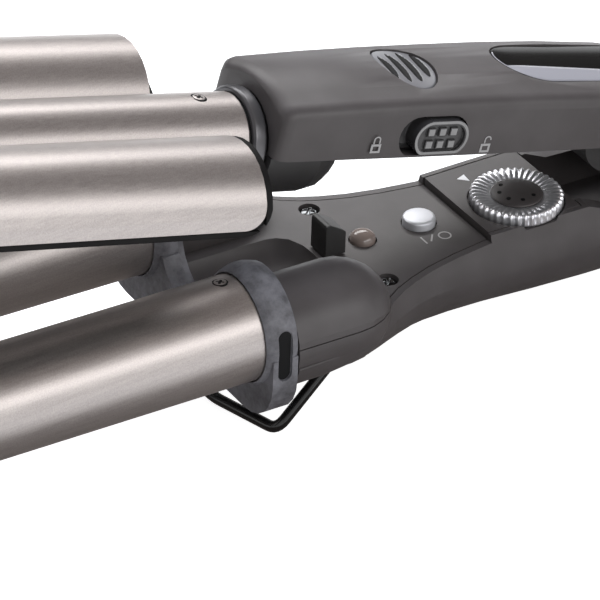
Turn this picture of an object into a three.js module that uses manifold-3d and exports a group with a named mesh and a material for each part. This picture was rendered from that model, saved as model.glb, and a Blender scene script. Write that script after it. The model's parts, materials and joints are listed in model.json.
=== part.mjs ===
// Hair waver with three barrels: two on the lower arm, one between two half shells on the upper arm.
// Everything is drawn with the arms closed, then the upper arm is swung open about its hinge pin.
// Drawing frame, millimetres: +X from the barrels to the hinge, +Z up, and zero where the axes of
// the lower barrels meet the plane of their handle-end rims, midway between them.
import * as THREE from 'three';
import { mergeVertices } from 'three/addons/utils/BufferGeometryUtils.js';
import Module from 'manifold-3d';

const wasm = await Module();
wasm.setup();

// Clearances
const FIT = 0.3;              // between pieces that seat on each other
const RUN = 0.5;              // between pieces that move past each other

// Barrels and shells
const BARREL_RADIUS = 12.5;
const BARREL_WALL = 0.9;
const BARREL_LENGTH = 130;    // rim to tip cap
const SOCKET_DEPTH = 4.6;     // lower barrel inside its collar
const MIDDLE_RADIUS = 10.4;
const MIDDLE_RISE = 2.6;      // middle barrel axis above the lower ones
const MIDDLE_RIM = 5.7;       // middle barrel rim behind the lower rims
const SHELL_WALL = 0.8;
const LINER_WALL = 0.75;
const LINER_GAP = 0.2;        // between a shell and its liner
const NEST = 0.55;            // between a lower barrel and the liner that closes over it
const SHELL_GAP = 0.2;        // between a shell and the middle barrel, at the level of the shell axis
const SHELL_RADIUS = BARREL_RADIUS + NEST + LINER_WALL + LINER_GAP + SHELL_WALL;
const SHELL_SPREAD = MIDDLE_RADIUS + SHELL_GAP + SHELL_RADIUS;
const BARREL_SPREAD = SHELL_SPREAD - 0.4;        // lower barrel axis to centre plane
const SHELL_RIM = -7.8;
const SHELL_LOW = 4;          // degrees, outer edge of a shell above the level
const SHELL_HIGH = 174;       // degrees, inner edge beside the middle barrel
const HEM = 6;                // degrees of liner below the edge of its shell
const LIP = 1.7;              // liner past the end of its shell
const CORNER = 5;             // rounded lower corner of a shell
const HEATER_WIDTH = 9;
const HEATER_INSET = 12;      // heater end from the rim
const HEATER_GAP = 10;        // other end from the plug of the tip cap
const TIP_LENGTH = 13;
const TIP_PLUG = 8;
const TIP_RIM = 5;            // straight part of a tip cap
const SHELL_CAP = 5;          // plate over the shell ends

// Collar
const COLLAR_LENGTH = 7.7;
const COLLAR_RADIUS = BARREL_RADIUS + 1.8;
const COLLAR_HALF = BARREL_SPREAD + COLLAR_RADIUS - 0.4;
const COLLAR_WAIST = -8.4;    // where its sides start to curve under
const COLLAR_BILGE = 12;
const COLLAR_FLOOR = -20.7;
const COLLAR_FRONT = 1.3;     // front face of its lower block
const SLOT_HEIGHT = 13;
const SLOT_WIDTH = 3.6;
const SLOT_FLOOR = 0.4;       // wall left between the slot and the socket

// Lower housing
const WALL = 2.2;
const LIP_WALL = 1.3;         // wall left beside the inset deck
const DECK_Z = -5.65;
const DECK_THICK = 2.9;
const BLOCK_Z = -3.8;         // raised panel round the dial
const BLOCK_START = 74.7;
const BLOCK_END = 100.5;
const HOUSING_END = 156;
const REAR_NOSE = 9;          // rounded rear end
const BILGE_FROM = 12;        // floor depth at which the round bilges start level
const BILGE_LOW = -15;        // their deepest start
const BILGE_HIGH = -8;        // and their highest
const BOSS_RADIUS = BARREL_RADIUS;
const BOSS_OUT = 1.7;         // boss axis outside the barrel axis
const BOSS_DOWN = 2.4;        // and below it
const BOSS_STRAIGHT = 24;
const BOSS_NOSE = 13.8;
const PART_Z = -0.6;          // where the deck meets the housing beside a boss
const TROUGH_RADIUS = 13.8;
const TROUGH_END = 36;
const TROUGH_FILLET = 7;
const TUB_WALL = 1.6;
const REST_FLAT = 0.5;        // depth of the flat under the rear
const FAR = 80;               // past every face, for tools that cut right through

// Controls
const SCREW_X = 45;
const SCREW_Y = 17.3;
const SCREW_HEAD = 2.3;
const SCREW_SHANK = 1.2;
const SCREW_SINK = 1.3;
const SCREW_REACH = 8;        // shank below the deck
const POST_START = 36.7;
const POST_LENGTH = 5.5;
const POST_HALF = 3.3;
const POST_TOP = 3.3;
const POST_BACK = 0.5;
const LIGHT_X = 49;
const LIGHT_RADIUS = 3.1;
const LIGHT_RISE = 2.6;
const BUTTON_X = 64.5;
const BUTTON_RADIUS = 3.95;
const BUTTON_RISE = 2;
const BUTTON_TRAVEL = 1.2;
const DIAL_X = 88.5;
const DIAL_Y = -5;
const DIAL_RADIUS = 11.2;
const DIAL_TOP = -1.1;
const DIAL_THICK = 3.6;
const DIAL_RIBS = 40;
const DIAL_RIB_DEPTH = 0.45;
const HUB_RADIUS = 6.6;
const SHAFT_RADIUS = 3;
const BOARD_START = 42;
const BOARD_END = 97;
const BOARD_HALF = 9.5;
const BOARD_TOP = -16;
const BOARD_THICK = 1.6;
const FOOT_START = 10;        // feet under the board, from its ends
const FOOT_END = 5;

// Wire stand
const WIRE_RADIUS = 1.4;
const STAND_X = 26.2;
const STAND_Z = -16.6;
const STAND_HALF = 25;
const STAND_REACH = 14.8;       // corner forward of the pivot
const STAND_DROP = 15;      // corner below the pivot
const STAND_BOW = 4.7;        // middle of the bar past its corners, forward and down
const STAND_FLAT = 2.5;       // half length of the level middle of the bar
const STAND_INWARD = 8;       // pivot end inside its lug
const STAND_ROOM = 2.6;       // clear height over the pivot, beside the lugs
const STAND_BEND = 3;
const LUG_HALF = 3.5;
const LUG_WIDTH = 5.5;

// Hinge
const HINGE_X = 136.5;
const HINGE_Z = -3;
const OPEN_ANGLE = 13.6;      // degrees
const CHEEK_RADIUS = 6.2;
const CHEEK_HALF = 15;
const WELL_HALF = 11.4;
const WELL_FLOOR = -16;
const PIN_RADIUS = 2;
const SPRING_WIRE = 0.6;
const SPRING_RADIUS = 3.7;
const SPRING_TURNS = 4;
const SPRING_PITCH = 1.8;
const SPRING_LEG = 13;
const CURL_STEPS = 8;
const GLAND_Z = -16.5;
const GLAND_RADIUS = 6.2;
const GLAND_BORE = 2.6;
const GLAND_LENGTH = 11;

// Upper handle
const HANDLE_START = 10.2;
const HANDLE_END = 144.5;
const HANDLE_FLOOR = 3.7;
const HANDLE_WALL = 2;
const CROWN = 2.2;
const NOSE = 3;               // rounded edge round its front face
const PLATE_THICK = 2;
const UPPER_BOSS_RADIUS = 12.9;
const UPPER_BOSS_END = 32.5;
const UPPER_BOSS_FILLET = 8.5;
const RING_RADIUS = 11.7;
const RING_START = 6.2;
const RING_LENGTH = 3.5;
const SLEEVE_RADIUS = 9.9;
const SKIN = 1.2;             // depth of the recesses in the top
const PAD_X = 50.6;
const PAD_HALF_X = 6.9;
const PAD_HALF_Y = 10.3;
const PAD_SINK = 0.35;        // pad below the surface of the handle
const GROOVES = 4;
const GROOVE_PITCH = 3;
const GROOVE_HALF = 0.8;
const GROOVE_SHARE = 0.7;     // of the pad's width
const GROOVE_SLANT = 0.14;
const GROOVE_DEPTH = 0.3;
const WINDOW_X = 102;
const WINDOW_HALF_X = 25.5;
const WINDOW_HALF_Y = 9.8;
const WINDOW_END = 12;        // length of its rounded ends
const LOCK_X = 51.6;
const LOCK_Z = 8.7;
const LOCK_WELL_X = 9.5;
const LOCK_WELL_Z = 5.1;
const LOCK_GRIP_X = 7.5;
const LOCK_GRIP_Z = 4.5;
const LOCK_RIM = 1.1;
const LOCK_SINK = 0.8;        // grip face below its rim
const STUD_PITCH = 3.1;
const STUD_SIZE = 2.1;
const LOCK_TRAVEL = 3;
const LOCK_LEDGE = 0.5;       // wall left under the well
const LOCK_FLANGE_X = 11;
const LOCK_PROUD = 1;
const TONGUE_START = 101;
const TONGUE_DROP = 9.4;      // front of the tongue below the handle floor
const TONGUE_BEND = 8;        // length over which it drops
const HOLLOW_BACK = 6;        // end of the hollow in it from the spring's legs
const HOLLOW_HALF = 8;

// Plan and side lines of the housings, as [x, value] points joined smoothly
const LOWER_WIDE = [[8, COLLAR_HALF + 0.2], [20, COLLAR_HALF - 0.2], [28, COLLAR_HALF - 3.2], [36, 31],
  [44, 26.2], [52, 22.6], [62, 20], [76, 18.6], [96, 18.6], [120, 17.6], [140, 16.4], [156, 15]];
const LOWER_EDGE = [[8, COLLAR_HALF], [20, COLLAR_HALF - 0.6], [28, COLLAR_HALF - 3.6], [36, 29.6],
  [42, 24.8], [47, 22], [57, 18.4], [66, 16.5], [75, 15.3], [96, 15.8], [120, 15.6], [140, 15.4], [156, 14]];
const LOWER_FLOOR = [[8, -18.3], [22, -18.5], [32, -20.6], [42, -22.2], [56, -23.4], [70, -24.5], [95, -26.1],
  [120, -27.2], [147, -28.4], [156, -28.2]];
const LOWER_TOP = [[8, BLOCK_Z], [102, BLOCK_Z], [108, -6.5], [126, -7], [156, -7]];
const UPPER_WIDE = [[12, 15.2], [60, 15.9], [100, 16], [144.5, 15]];
const UPPER_TOP = [[12, 16.4], [30, 17.1], [47, 17.4], [81, 17.6], [116, 16.6], [144.5, 13.5]];

// Joins [x, value] points with a curve that never overshoots them
function track(points) {
  return (x) => {
    let i = 1;
    while (i < points.length - 1 && x > points[i][0]) i += 1;
    const [x0, v0] = points[i - 1];
    const [x1, v1] = points[i];
    const t = THREE.MathUtils.clamp((x - x0) / (x1 - x0), 0, 1);
    const slope = (j) => {
      if (j <= 0 || j >= points.length - 1) return 0;
      const before = (points[j][1] - points[j - 1][1]) / (points[j][0] - points[j - 1][0]);
      const after = (points[j + 1][1] - points[j][1]) / (points[j + 1][0] - points[j][0]);
      return before * after <= 0 ? 0 : (2 * before * after) / (before + after);
    };
    const h = x1 - x0;
    const a = slope(i - 1) * h;
    const b = slope(i) * h;
    const d = v1 - v0;
    return v0 + t * (a + t * (3 * d - 2 * a - b + t * (a + b - 2 * d)));
  };
}

const lowerWide = track(LOWER_WIDE);
const lowerEdge = track(LOWER_EDGE);
const lowerFloor = track(LOWER_FLOOR);
const lowerTop = track(LOWER_TOP);
const upperWide = track(UPPER_WIDE);
const upperTop = track(UPPER_TOP);

// Solids: a closed geometry becomes a solid, and a finished solid becomes a geometry again
function solid(geometry) {
  const bare = geometry.index ? geometry.toNonIndexed() : geometry.clone();
  bare.deleteAttribute('normal');
  if (bare.attributes.uv) bare.deleteAttribute('uv');
  const merged = mergeVertices(bare, 1e-4);
  const triVerts = new Uint32Array(merged.index.array);
  const vertProperties = new Float32Array(merged.attributes.position.array);
  if (signedVolume(vertProperties, triVerts) < 0) {
    for (let i = 0; i < triVerts.length; i += 3) {
      [triVerts[i], triVerts[i + 1]] = [triVerts[i + 1], triVerts[i]];
    }
  }
  return new wasm.Manifold(new wasm.Mesh({ numProp: 3, vertProperties, triVerts }));
}

function signedVolume(positions, triangles) {
  const [a, b, c] = [new THREE.Vector3(), new THREE.Vector3(), new THREE.Vector3()];
  let volume = 0;
  for (let i = 0; i < triangles.length; i += 3) {
    a.fromArray(positions, 3 * triangles[i]);
    b.fromArray(positions, 3 * triangles[i + 1]);
    c.fromArray(positions, 3 * triangles[i + 2]);
    volume += a.dot(b.cross(c));
  }
  return volume;
}

function geometryOf(body) {
  const mesh = body.getMesh();
  const geometry = new THREE.BufferGeometry();
  geometry.setAttribute('position', new THREE.BufferAttribute(new Float32Array(mesh.vertProperties), 3));
  geometry.setIndex(new THREE.BufferAttribute(new Uint32Array(mesh.triVerts), 1));
  geometry.computeVertexNormals();
  return geometry;
}

const join = (...bodies) => bodies.reduce((all, body) => all.add(body));
const cut = (body, ...tools) => tools.reduce((rest, tool) => rest.subtract(tool), body);

// Basic forms
function box(x0, x1, y0, y1, z0, z1) {
  const geometry = new THREE.BoxGeometry(x1 - x0, y1 - y0, z1 - z0);
  return solid(geometry.translate((x0 + x1) / 2, (y0 + y1) / 2, (z0 + z1) / 2));
}

function rod(axis, radius, from, to, at, sides = 24) {
  const geometry = new THREE.CylinderGeometry(radius, radius, to - from, sides);
  const middle = (from + to) / 2;
  if (axis === 'x') geometry.rotateZ(-Math.PI / 2).translate(middle, at[0], at[1]);
  if (axis === 'y') geometry.translate(at[0], middle, at[1]);
  if (axis === 'z') geometry.rotateX(Math.PI / 2).translate(at[0], at[1], middle);
  return solid(geometry);
}

// Profile of [distance along the axis, radius] turned about an axis that runs along X or Z
function turned(axis, profile, at, sides = 32) {
  const points = profile.map(([along, radius]) => new THREE.Vector2(radius, along));
  const geometry = new THREE.LatheGeometry(points, sides);
  if (axis === 'x') geometry.rotateZ(-Math.PI / 2).translate(0, at[0], at[1]);
  if (axis === 'z') geometry.rotateX(Math.PI / 2).translate(at[0], at[1], 0);
  return solid(geometry);
}

// Flat shape pushed along an axis; the shape lies in YZ for x, in XZ for y and in XY for z
function prism(axis, shape, from, to, curveSegments = 12) {
  const options = { depth: to - from, bevelEnabled: false, curveSegments };
  const geometry = new THREE.ExtrudeGeometry(shape, options);
  const [X, Y, Z] = [new THREE.Vector3(1, 0, 0), new THREE.Vector3(0, 1, 0), new THREE.Vector3(0, 0, 1)];
  const basis = new THREE.Matrix4();
  if (axis === 'x') basis.makeBasis(Y, Z, X).setPosition(from, 0, 0);
  if (axis === 'y') basis.makeBasis(X, Z, Y.clone().negate()).setPosition(0, to, 0);
  if (axis === 'z') basis.setPosition(0, 0, from);
  return solid(geometry.applyMatrix4(basis));
}

function shapeOf(points) {
  return new THREE.Shape(points.map(([a, b]) => new THREE.Vector2(a, b)));
}

function ellipseShape(x, y, halfX, halfY) {
  const shape = new THREE.Shape();
  shape.absellipse(x, y, halfX, halfY, 0, 2 * Math.PI);
  return shape;
}

function obround(x, y, halfX, halfY) {
  const shape = new THREE.Shape();
  const r = Math.min(halfX, halfY);
  const [dx, dy] = [halfX - r, halfY - r];
  if (dx > 0) {
    shape.absarc(x + dx, y, r, -Math.PI / 2, Math.PI / 2).absarc(x - dx, y, r, Math.PI / 2, 1.5 * Math.PI);
  } else {
    shape.absarc(x, y + dy, r, 0, Math.PI).absarc(x, y - dy, r, Math.PI, 2 * Math.PI);
  }
  return shape;
}

// Part of a ring, angles in degrees from the outward level over the top
function ringSector(centre, inner, outer, low, high, side) {
  const shape = new THREE.Shape();
  const [a, b] = [THREE.MathUtils.degToRad(low), THREE.MathUtils.degToRad(high)];
  const steps = 15;
  const at = (radius, angle) => [side * (centre + radius * Math.cos(angle)), radius * Math.sin(angle)];
  for (let i = 0; i <= steps; i += 1) {
    const [y, z] = at(outer, a + ((b - a) * i) / steps);
    if (i === 0) shape.moveTo(y, z);
    else shape.lineTo(y, z);
  }
  for (let i = steps; i >= 0; i -= 1) shape.lineTo(...at(inner, a + ((b - a) * i) / steps));
  return shape;
}

// Body through cross sections: each section is a ring of [y, z] points at one x
function loft(stations, section) {
  const positions = [];
  const triangles = [];
  const rings = stations.map((x) => section(x).map(([y, z]) => new THREE.Vector3(x, y, z)));
  const count = rings[0].length;
  rings.forEach((ring) => ring.forEach((p) => positions.push(p.x, p.y, p.z)));
  for (let i = 0; i < rings.length - 1; i += 1) {
    for (let j = 0; j < count; j += 1) {
      const k = (j + 1) % count;
      const [a, b, c, d] = [i * count + j, i * count + k, (i + 1) * count + k, (i + 1) * count + j];
      triangles.push(a, b, c, a, c, d);
    }
  }
  [0, rings.length - 1].forEach((i) => {
    const centre = positions.length / 3;
    const middle = rings[i].reduce((sum, p) => sum.add(p), new THREE.Vector3()).divideScalar(count);
    positions.push(middle.x, middle.y, middle.z);
    for (let j = 0; j < count; j += 1) {
      const [a, b] = [i * count + j, i * count + ((j + 1) % count)];
      if (i === 0) triangles.push(centre, b, a);
      else triangles.push(centre, a, b);
    }
  });
  const geometry = new THREE.BufferGeometry();
  geometry.setAttribute('position', new THREE.Float32BufferAttribute(positions, 3));
  geometry.setIndex(triangles);
  return geometry;
}

const mirrored = (half) => [...half, ...half.map(([y, z]) => [-y, z]).reverse()];

// Section of the lower housing: flat floor, round bilges, sides that lean in to the top edge
function lowerSection(x, inset, rise, steps = 5) {
  const wide = lowerWide(x) - inset;
  const edge = lowerEdge(x) - inset;
  const floor = lowerFloor(x) + inset;
  const flat = 0.28 * wide + 2.5;
  const level = THREE.MathUtils.clamp((floor + BILGE_FROM) * 1.15, BILGE_LOW, BILGE_HIGH) + 2;
  const half = [];
  for (let i = 0; i <= steps; i += 1) {
    const angle = (i / steps) * (Math.PI / 2);
    half.push([flat + (wide - flat) * Math.sin(angle), level - (level - floor) * Math.cos(angle)]);
  }
  half.push([0.4 * wide + 0.6 * edge, 0.5 * level + 0.5 * (lowerTop(x) + rise)]);
  half.push([edge, lowerTop(x) + rise]);
  const end = THREE.MathUtils.clamp((x - (HOUSING_END - REAR_NOSE)) / REAR_NOSE, 0, 1);
  const shrink = 1 - 0.42 * (1 - Math.sqrt(1 - end * end * 0.98));
  const centre = (floor + lowerTop(x)) / 2;
  return mirrored(half.map(([y, z]) => [y * shrink, centre + (z - centre) * (0.3 + 0.7 * shrink)]));
}

// Section of the upper handle: level floor, upright sides, rounded shoulders, crowned top
function upperSection(x, inset, drop) {
  const wide = upperWide(x) - inset;
  const top = upperTop(x) - inset;
  const round = 3;
  const nose = THREE.MathUtils.clamp((HANDLE_START + NOSE - x) / NOSE, 0, 1);
  const tail = THREE.MathUtils.clamp((x - (HANDLE_END - 7)) / 7, 0, 1);
  const narrow = wide - 2.4 * (1 - Math.sqrt(1 - nose * nose * 0.98)) - 5 * (1 - Math.sqrt(1 - tail * tail));
  const high = top - 2 * (1 - Math.sqrt(1 - nose * nose * 0.98)) - 7 * (1 - Math.sqrt(1 - tail * tail));
  const half = [[narrow, HANDLE_FLOOR - drop], [narrow - 0.25, high - round]];
  for (let i = 1; i <= 4; i += 1) {
    const angle = (i / 4) * (Math.PI / 2);
    half.push([narrow - 0.25 - round * (1 - Math.cos(angle)), high - round * (1 - Math.sin(angle))]);
  }
  for (let i = 1; i <= 3; i += 1) {
    const share = 1 - i / 3.5;
    half.push([(narrow - 0.25 - round) * share, high + CROWN * (1 - share * share)]);
  }
  return mirrored(half);
}

const LOWER_STATIONS = [COLLAR_LENGTH + FIT, 18, 24, 29, 33, 37, 41, 45, 50, 56, 64, 74, 88, 102, 105, 108,
  124, HOUSING_END - 9, HOUSING_END - 5, HOUSING_END - 2, HOUSING_END];
const UPPER_STATIONS = [HANDLE_START, HANDLE_START + 0.3, HANDLE_START + 1.2, HANDLE_START + NOSE, 30, 47, 64, 81,
  98, 116, 130, HANDLE_END - 7, HANDLE_END - 4.5, HANDLE_END - 2, HANDLE_END - 0.3];

// Outline of what lies inside the lip of the lower housing, in plan
function deckOutline(start, end, inset) {
  const stations = LOWER_STATIONS.filter((x) => x > start + 0.5 && x < end - 0.5);
  const xs = [start, ...stations, end];
  const far = xs.map((x) => [x, lowerEdge(x) - inset]);
  const near = xs.map((x) => [x, -(lowerEdge(x) - inset)]).reverse();
  return shapeOf([...near.reverse(), ...far.reverse()]);
}

// Socket boss behind a lower barrel, and the trough that the upper boss drops into
function bullet(side) {
  const profile = [[COLLAR_LENGTH + FIT, 0], [COLLAR_LENGTH + FIT, BOSS_RADIUS], [BOSS_STRAIGHT, BOSS_RADIUS]];
  for (let i = 1; i <= 6; i += 1) {
    const angle = (i / 6) * (Math.PI / 2);
    profile.push([BOSS_STRAIGHT + BOSS_NOSE * Math.sin(angle), i === 6 ? 0 : BOSS_RADIUS * Math.cos(angle)]);
  }
  return turned('x', profile, [side * (BARREL_SPREAD + BOSS_OUT), -BOSS_DOWN], 24);
}

function roundNosed(start, end, radius, fillet, sides = 24) {
  const profile = [[start, 0], [start, radius]];
  for (let i = 0; i <= 4; i += 1) {
    const angle = (i / 4) * (Math.PI / 2);
    profile.push([end - fillet * (1 - Math.sin(angle)), radius - fillet * (1 - Math.cos(angle))]);
  }
  profile.push([end, 0]);
  return turned('x', profile, [0, MIDDLE_RISE], sides);
}

const BEFORE = COLLAR_LENGTH - 3;
const trough = roundNosed(BEFORE, TROUGH_END, TROUGH_RADIUS, TROUGH_FILLET);

// Outer body of the lower arm, before it is parted into housing, deck and panel
function lowerEnvelope() {
  const hull = solid(loft(LOWER_STATIONS, (x) => lowerSection(x, 0, 0)));
  const above = box(BEFORE, BLOCK_START - FIT / 2, -FAR, FAR, DECK_Z, FAR);
  return join(cut(hull, above), bullet(1), bullet(-1));
}

const envelope = lowerEnvelope();
const DECK_FLOOR = DECK_Z - DECK_THICK;
const LOW_START = COLLAR_LENGTH + FIT;

function deckCover() {
  const deck = prism('z', deckOutline(LOW_START, BLOCK_START - FIT / 2, LIP_WALL + FIT), DECK_FLOOR, FAR);
  const overBoss = box(LOW_START, BOSS_STRAIGHT + BOSS_NOSE + 2, -FAR, FAR, PART_Z, FAR);
  const tub = roundNosed(LOW_START, TROUGH_END + TUB_WALL, TROUGH_RADIUS + TUB_WALL, TROUGH_FILLET + TUB_WALL);
  const tubBelow = tub.subtract(box(0, FAR, -FAR, FAR, DECK_Z, FAR));
  let cover = join(envelope.intersect(join(deck, overBoss)), tubBelow);
  cover = cut(cover, trough);
  [1, -1].forEach((side) => {
    cover = cut(cover, rod('z', SCREW_HEAD + FIT, DECK_Z - SCREW_SINK - 1, FAR, [SCREW_X, side * SCREW_Y], 16),
      rod('z', SCREW_SHANK + FIT, DECK_FLOOR - 1, FAR, [SCREW_X, side * SCREW_Y], 10));
  });
  return cut(cover, rod('z', LIGHT_RADIUS + FIT, DECK_FLOOR - 1, FAR, [LIGHT_X, 0], 20),
    rod('z', BUTTON_RADIUS + FIT, DECK_FLOOR - 1, FAR, [BUTTON_X, 0], 24),
    box(POST_START + 1.9 - FIT, POST_START + POST_LENGTH - 0.8 + FIT, -2 - FIT, 2 + FIT, DECK_FLOOR - 1, 0));
}

const dialPocket = rod('z', DIAL_RADIUS + RUN, DIAL_TOP - DIAL_THICK - FIT, FAR, [DIAL_X, DIAL_Y], 32);

function dialPanel() {
  const start = BLOCK_START + FIT / 2;
  const panel = prism('z', deckOutline(start, BLOCK_END, LIP_WALL + FIT), DECK_FLOOR, BLOCK_Z);
  return cut(panel, dialPocket, rod('z', SHAFT_RADIUS + FIT, DECK_FLOOR - 1, FAR, [DIAL_X, DIAL_Y], 16));
}

// Inside of the lower housing, open at the top
function housingCavity() {
  const stations = LOWER_STATIONS.filter((x, i) => x > LOW_START + WALL && x < HINGE_X && i % 2 === 0);
  const hollow = solid(loft([LOW_START + WALL, ...stations], (x) => lowerSection(x, WALL, 4, 3)));
  const room = box(LOW_START + WALL, BLOCK_END - 1.5, -FAR, FAR, -FAR, DECK_FLOOR + 1);
  const flange = GLAND_RADIUS + 1;
  const rear = box(HINGE_X + CHEEK_RADIUS + 4, HOUSING_END - 3, -flange, flange, GLAND_Z - flange, GLAND_Z + flange);
  return join(hollow.intersect(room), rear);
}

function standLug(side) {
  const y1 = STAND_HALF - STAND_BEND - RUN;
  const y0 = y1 - LUG_WIDTH;
  return box(STAND_X - LUG_HALF, STAND_X + LUG_HALF, Math.min(side * y0, side * y1), Math.max(side * y0, side * y1),
    lowerFloor(STAND_X) + 0.6, STAND_Z + LUG_HALF);
}

function housing() {
  const cover = prism('z', deckOutline(LOW_START - 1, BLOCK_END + FIT, LIP_WALL), DECK_FLOOR - FIT, FAR);
  const overBoss = box(BEFORE, BOSS_STRAIGHT + BOSS_NOSE + 3, -FAR, FAR, PART_Z - FIT, FAR);
  const tub = roundNosed(BEFORE, TROUGH_END + TUB_WALL + FIT, TROUGH_RADIUS + TUB_WALL + FIT, TROUGH_FILLET);
  const cheeks = join(rod('y', CHEEK_RADIUS, -CHEEK_HALF, CHEEK_HALF, [HINGE_X, HINGE_Z], 28),
    box(HINGE_X - CHEEK_RADIUS, HINGE_X + CHEEK_RADIUS, -CHEEK_HALF, CHEEK_HALF, HINGE_Z - 9, HINGE_Z));
  const well = box(BLOCK_END + FIT, HINGE_X + CHEEK_RADIUS + 1.4, -WELL_HALF, WELL_HALF, WELL_FLOOR, FAR);
  let body = cut(join(envelope, cheeks), cover, overBoss, tub, housingCavity());
  body = cut(join(body, standLug(1), standLug(-1)), well, dialPocket);
  [1, -1].forEach((side) => {
    const post = rod('z', SCREW_SHANK + 2, lowerFloor(SCREW_X) + 1, DECK_FLOOR - FIT, [SCREW_X, side * SCREW_Y], 12);
    const bore = rod('z', SCREW_SHANK + FIT, DECK_FLOOR - SCREW_REACH - 1, FAR, [SCREW_X, side * SCREW_Y], 10);
    const [y0, y1] = [STAND_HALF - STAND_BEND - RUN, STAND_HALF + WIRE_RADIUS + RUN].map((y) => side * y);
    const gap = box(STAND_X - 8, STAND_X + 8, Math.min(y0, y1), Math.max(y0, y1), -FAR, STAND_Z + STAND_ROOM);
    const [inner, outer] = [STAND_HALF - STAND_INWARD - FIT, STAND_HALF].map((y) => side * y);
    const pivot = rod('y', WIRE_RADIUS + FIT, Math.min(inner, outer), Math.max(inner, outer), [STAND_X, STAND_Z], 12);
    body = cut(join(body, post.intersect(envelope)), bore, gap, pivot);
  });
  [BOARD_START + FOOT_START, BOARD_END - FOOT_END].forEach((x) => {
    [1, -1].forEach((side) => {
      const foot = rod('z', 1.8, lowerFloor(x) + 1, BOARD_TOP - BOARD_THICK - FIT, [x, side * (BOARD_HALF - 2)], 8);
      body = join(body, foot);
    });
  });
  const pinHole = rod('y', PIN_RADIUS + FIT, -CHEEK_HALF + 0.8, CHEEK_HALF - 0.8, [HINGE_X, HINGE_Z], 16);
  const glandHole = rod('x', GLAND_RADIUS - 2 + FIT, HOUSING_END - 6, HOUSING_END + 4, [0, GLAND_Z], 24);
  return cut(body, pinHole, glandHole, belowGround());
}

// The waver lies on its wire stand and on a flat at the rear of the lower housing
const standTilt = Math.atan2(STAND_REACH, STAND_DROP);
const standLow = STAND_Z - STAND_DROP - STAND_BOW * Math.cos(standTilt) - WIRE_RADIUS;
const standAt = STAND_X - STAND_REACH - STAND_BOW * Math.sin(standTilt);
const rearAt = HOUSING_END - 9;
const rearLow = lowerFloor(rearAt) + REST_FLAT;
const lean = Math.atan2(rearLow - standLow, rearAt - standAt);

function belowGround() {
  const slope = Math.tan(lean);
  const at = (x) => rearLow + slope * (x - rearAt);
  const [start, end] = [HINGE_X - FAR, HINGE_X + FAR];
  return prism('y', shapeOf([[start, -FAR], [end, -FAR], [end, at(end)], [start, at(start)]]), -FAR, FAR);
}

// Collar that carries the lower barrels
function collarBlock() {
  const half = [];
  for (let i = 0; i <= 6; i += 1) {
    const angle = (i / 6) * (Math.PI / 2);
    half.push([COLLAR_HALF - COLLAR_BILGE * (1 - Math.sin(angle)),
      COLLAR_WAIST - (COLLAR_WAIST - COLLAR_FLOOR) * Math.cos(angle)]);
  }
  half.push([COLLAR_HALF, -2]);
  return prism('x', shapeOf(mirrored(half)), COLLAR_FRONT, COLLAR_LENGTH);
}

function collar() {
  let body = collarBlock();
  const shoulder = [[0, 0], [0, BARREL_RADIUS + 0.5], [0.7, BARREL_RADIUS + 1], [2, COLLAR_RADIUS - 0.4],
    [3.6, COLLAR_RADIUS], [COLLAR_LENGTH - 2.2, COLLAR_RADIUS - 0.1], [COLLAR_LENGTH, COLLAR_RADIUS - 0.7],
    [COLLAR_LENGTH, 0]];
  [1, -1].forEach((side) => {
    body = join(body, turned('x', shoulder, [side * BARREL_SPREAD, 0], 32));
  });
  const ahead = rod('x', MIDDLE_RADIUS + 1, -FAR, MIDDLE_RIM, [0, MIDDLE_RISE], 24);
  const behind = rod('x', RING_RADIUS + 1, MIDDLE_RIM, FAR, [0, MIDDLE_RISE], 24);
  const over = box(-FAR, FAR, -8, 8, MIDDLE_RISE + 4, FAR);
  body = cut(body, ahead, behind, over);
  [1, -1].forEach((side) => {
    const middle = side * BARREL_SPREAD;
    const slot = obround(4.4, -1.2, SLOT_WIDTH / 2, SLOT_HEIGHT / 2);
    const edge = side * (COLLAR_HALF + 2);
    const deep = side * (BARREL_SPREAD + BARREL_RADIUS + FIT + SLOT_FLOOR);
    body = cut(body, rod('x', BARREL_RADIUS + FIT, -FAR, SOCKET_DEPTH + FIT, [middle, 0], 32),
      rod('x', 7, -FAR, FAR, [middle, 0], 16),
      prism('y', slot, Math.min(edge, deep), Math.max(edge, deep), 6));
  });
  return body;
}

// Barrels, heaters and tip caps
function barrel(radius, from, to, at) {
  const inner = radius - BARREL_WALL;
  return turned('x', [[from, inner], [from, radius], [to, radius], [to, inner], [from, inner]], at, 32);
}

function heater(radius, rim, at) {
  const inner = radius - BARREL_WALL - FIT;
  const from = -BARREL_LENGTH + TIP_PLUG + HEATER_GAP;
  const core = rod('x', inner, from, rim - HEATER_INSET, at, 24);
  return core.intersect(box(from - 1, rim, at[0] - HEATER_WIDTH / 2, at[0] + HEATER_WIDTH / 2, -FAR, FAR));
}

function domedPlug(radius, at, plug) {
  const face = -BARREL_LENGTH - FIT;
  const inner = radius - BARREL_WALL - FIT;
  const profile = [[face - TIP_LENGTH, 0]];
  for (let i = 1; i <= 5; i += 1) {
    const angle = (i / 5) * (Math.PI / 2);
    profile.push([face - TIP_RIM - (TIP_LENGTH - TIP_RIM) * Math.cos(angle), radius * (0.45 + 0.55 * Math.sin(angle))]);
  }
  profile[1][0] = face - TIP_LENGTH;
  profile.push([face, radius]);
  if (plug) profile.push([face, inner], [face + TIP_PLUG, inner], [face + TIP_PLUG, 0]);
  else profile.push([face, 0]);
  return turned('x', profile, at, 24);
}

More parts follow.
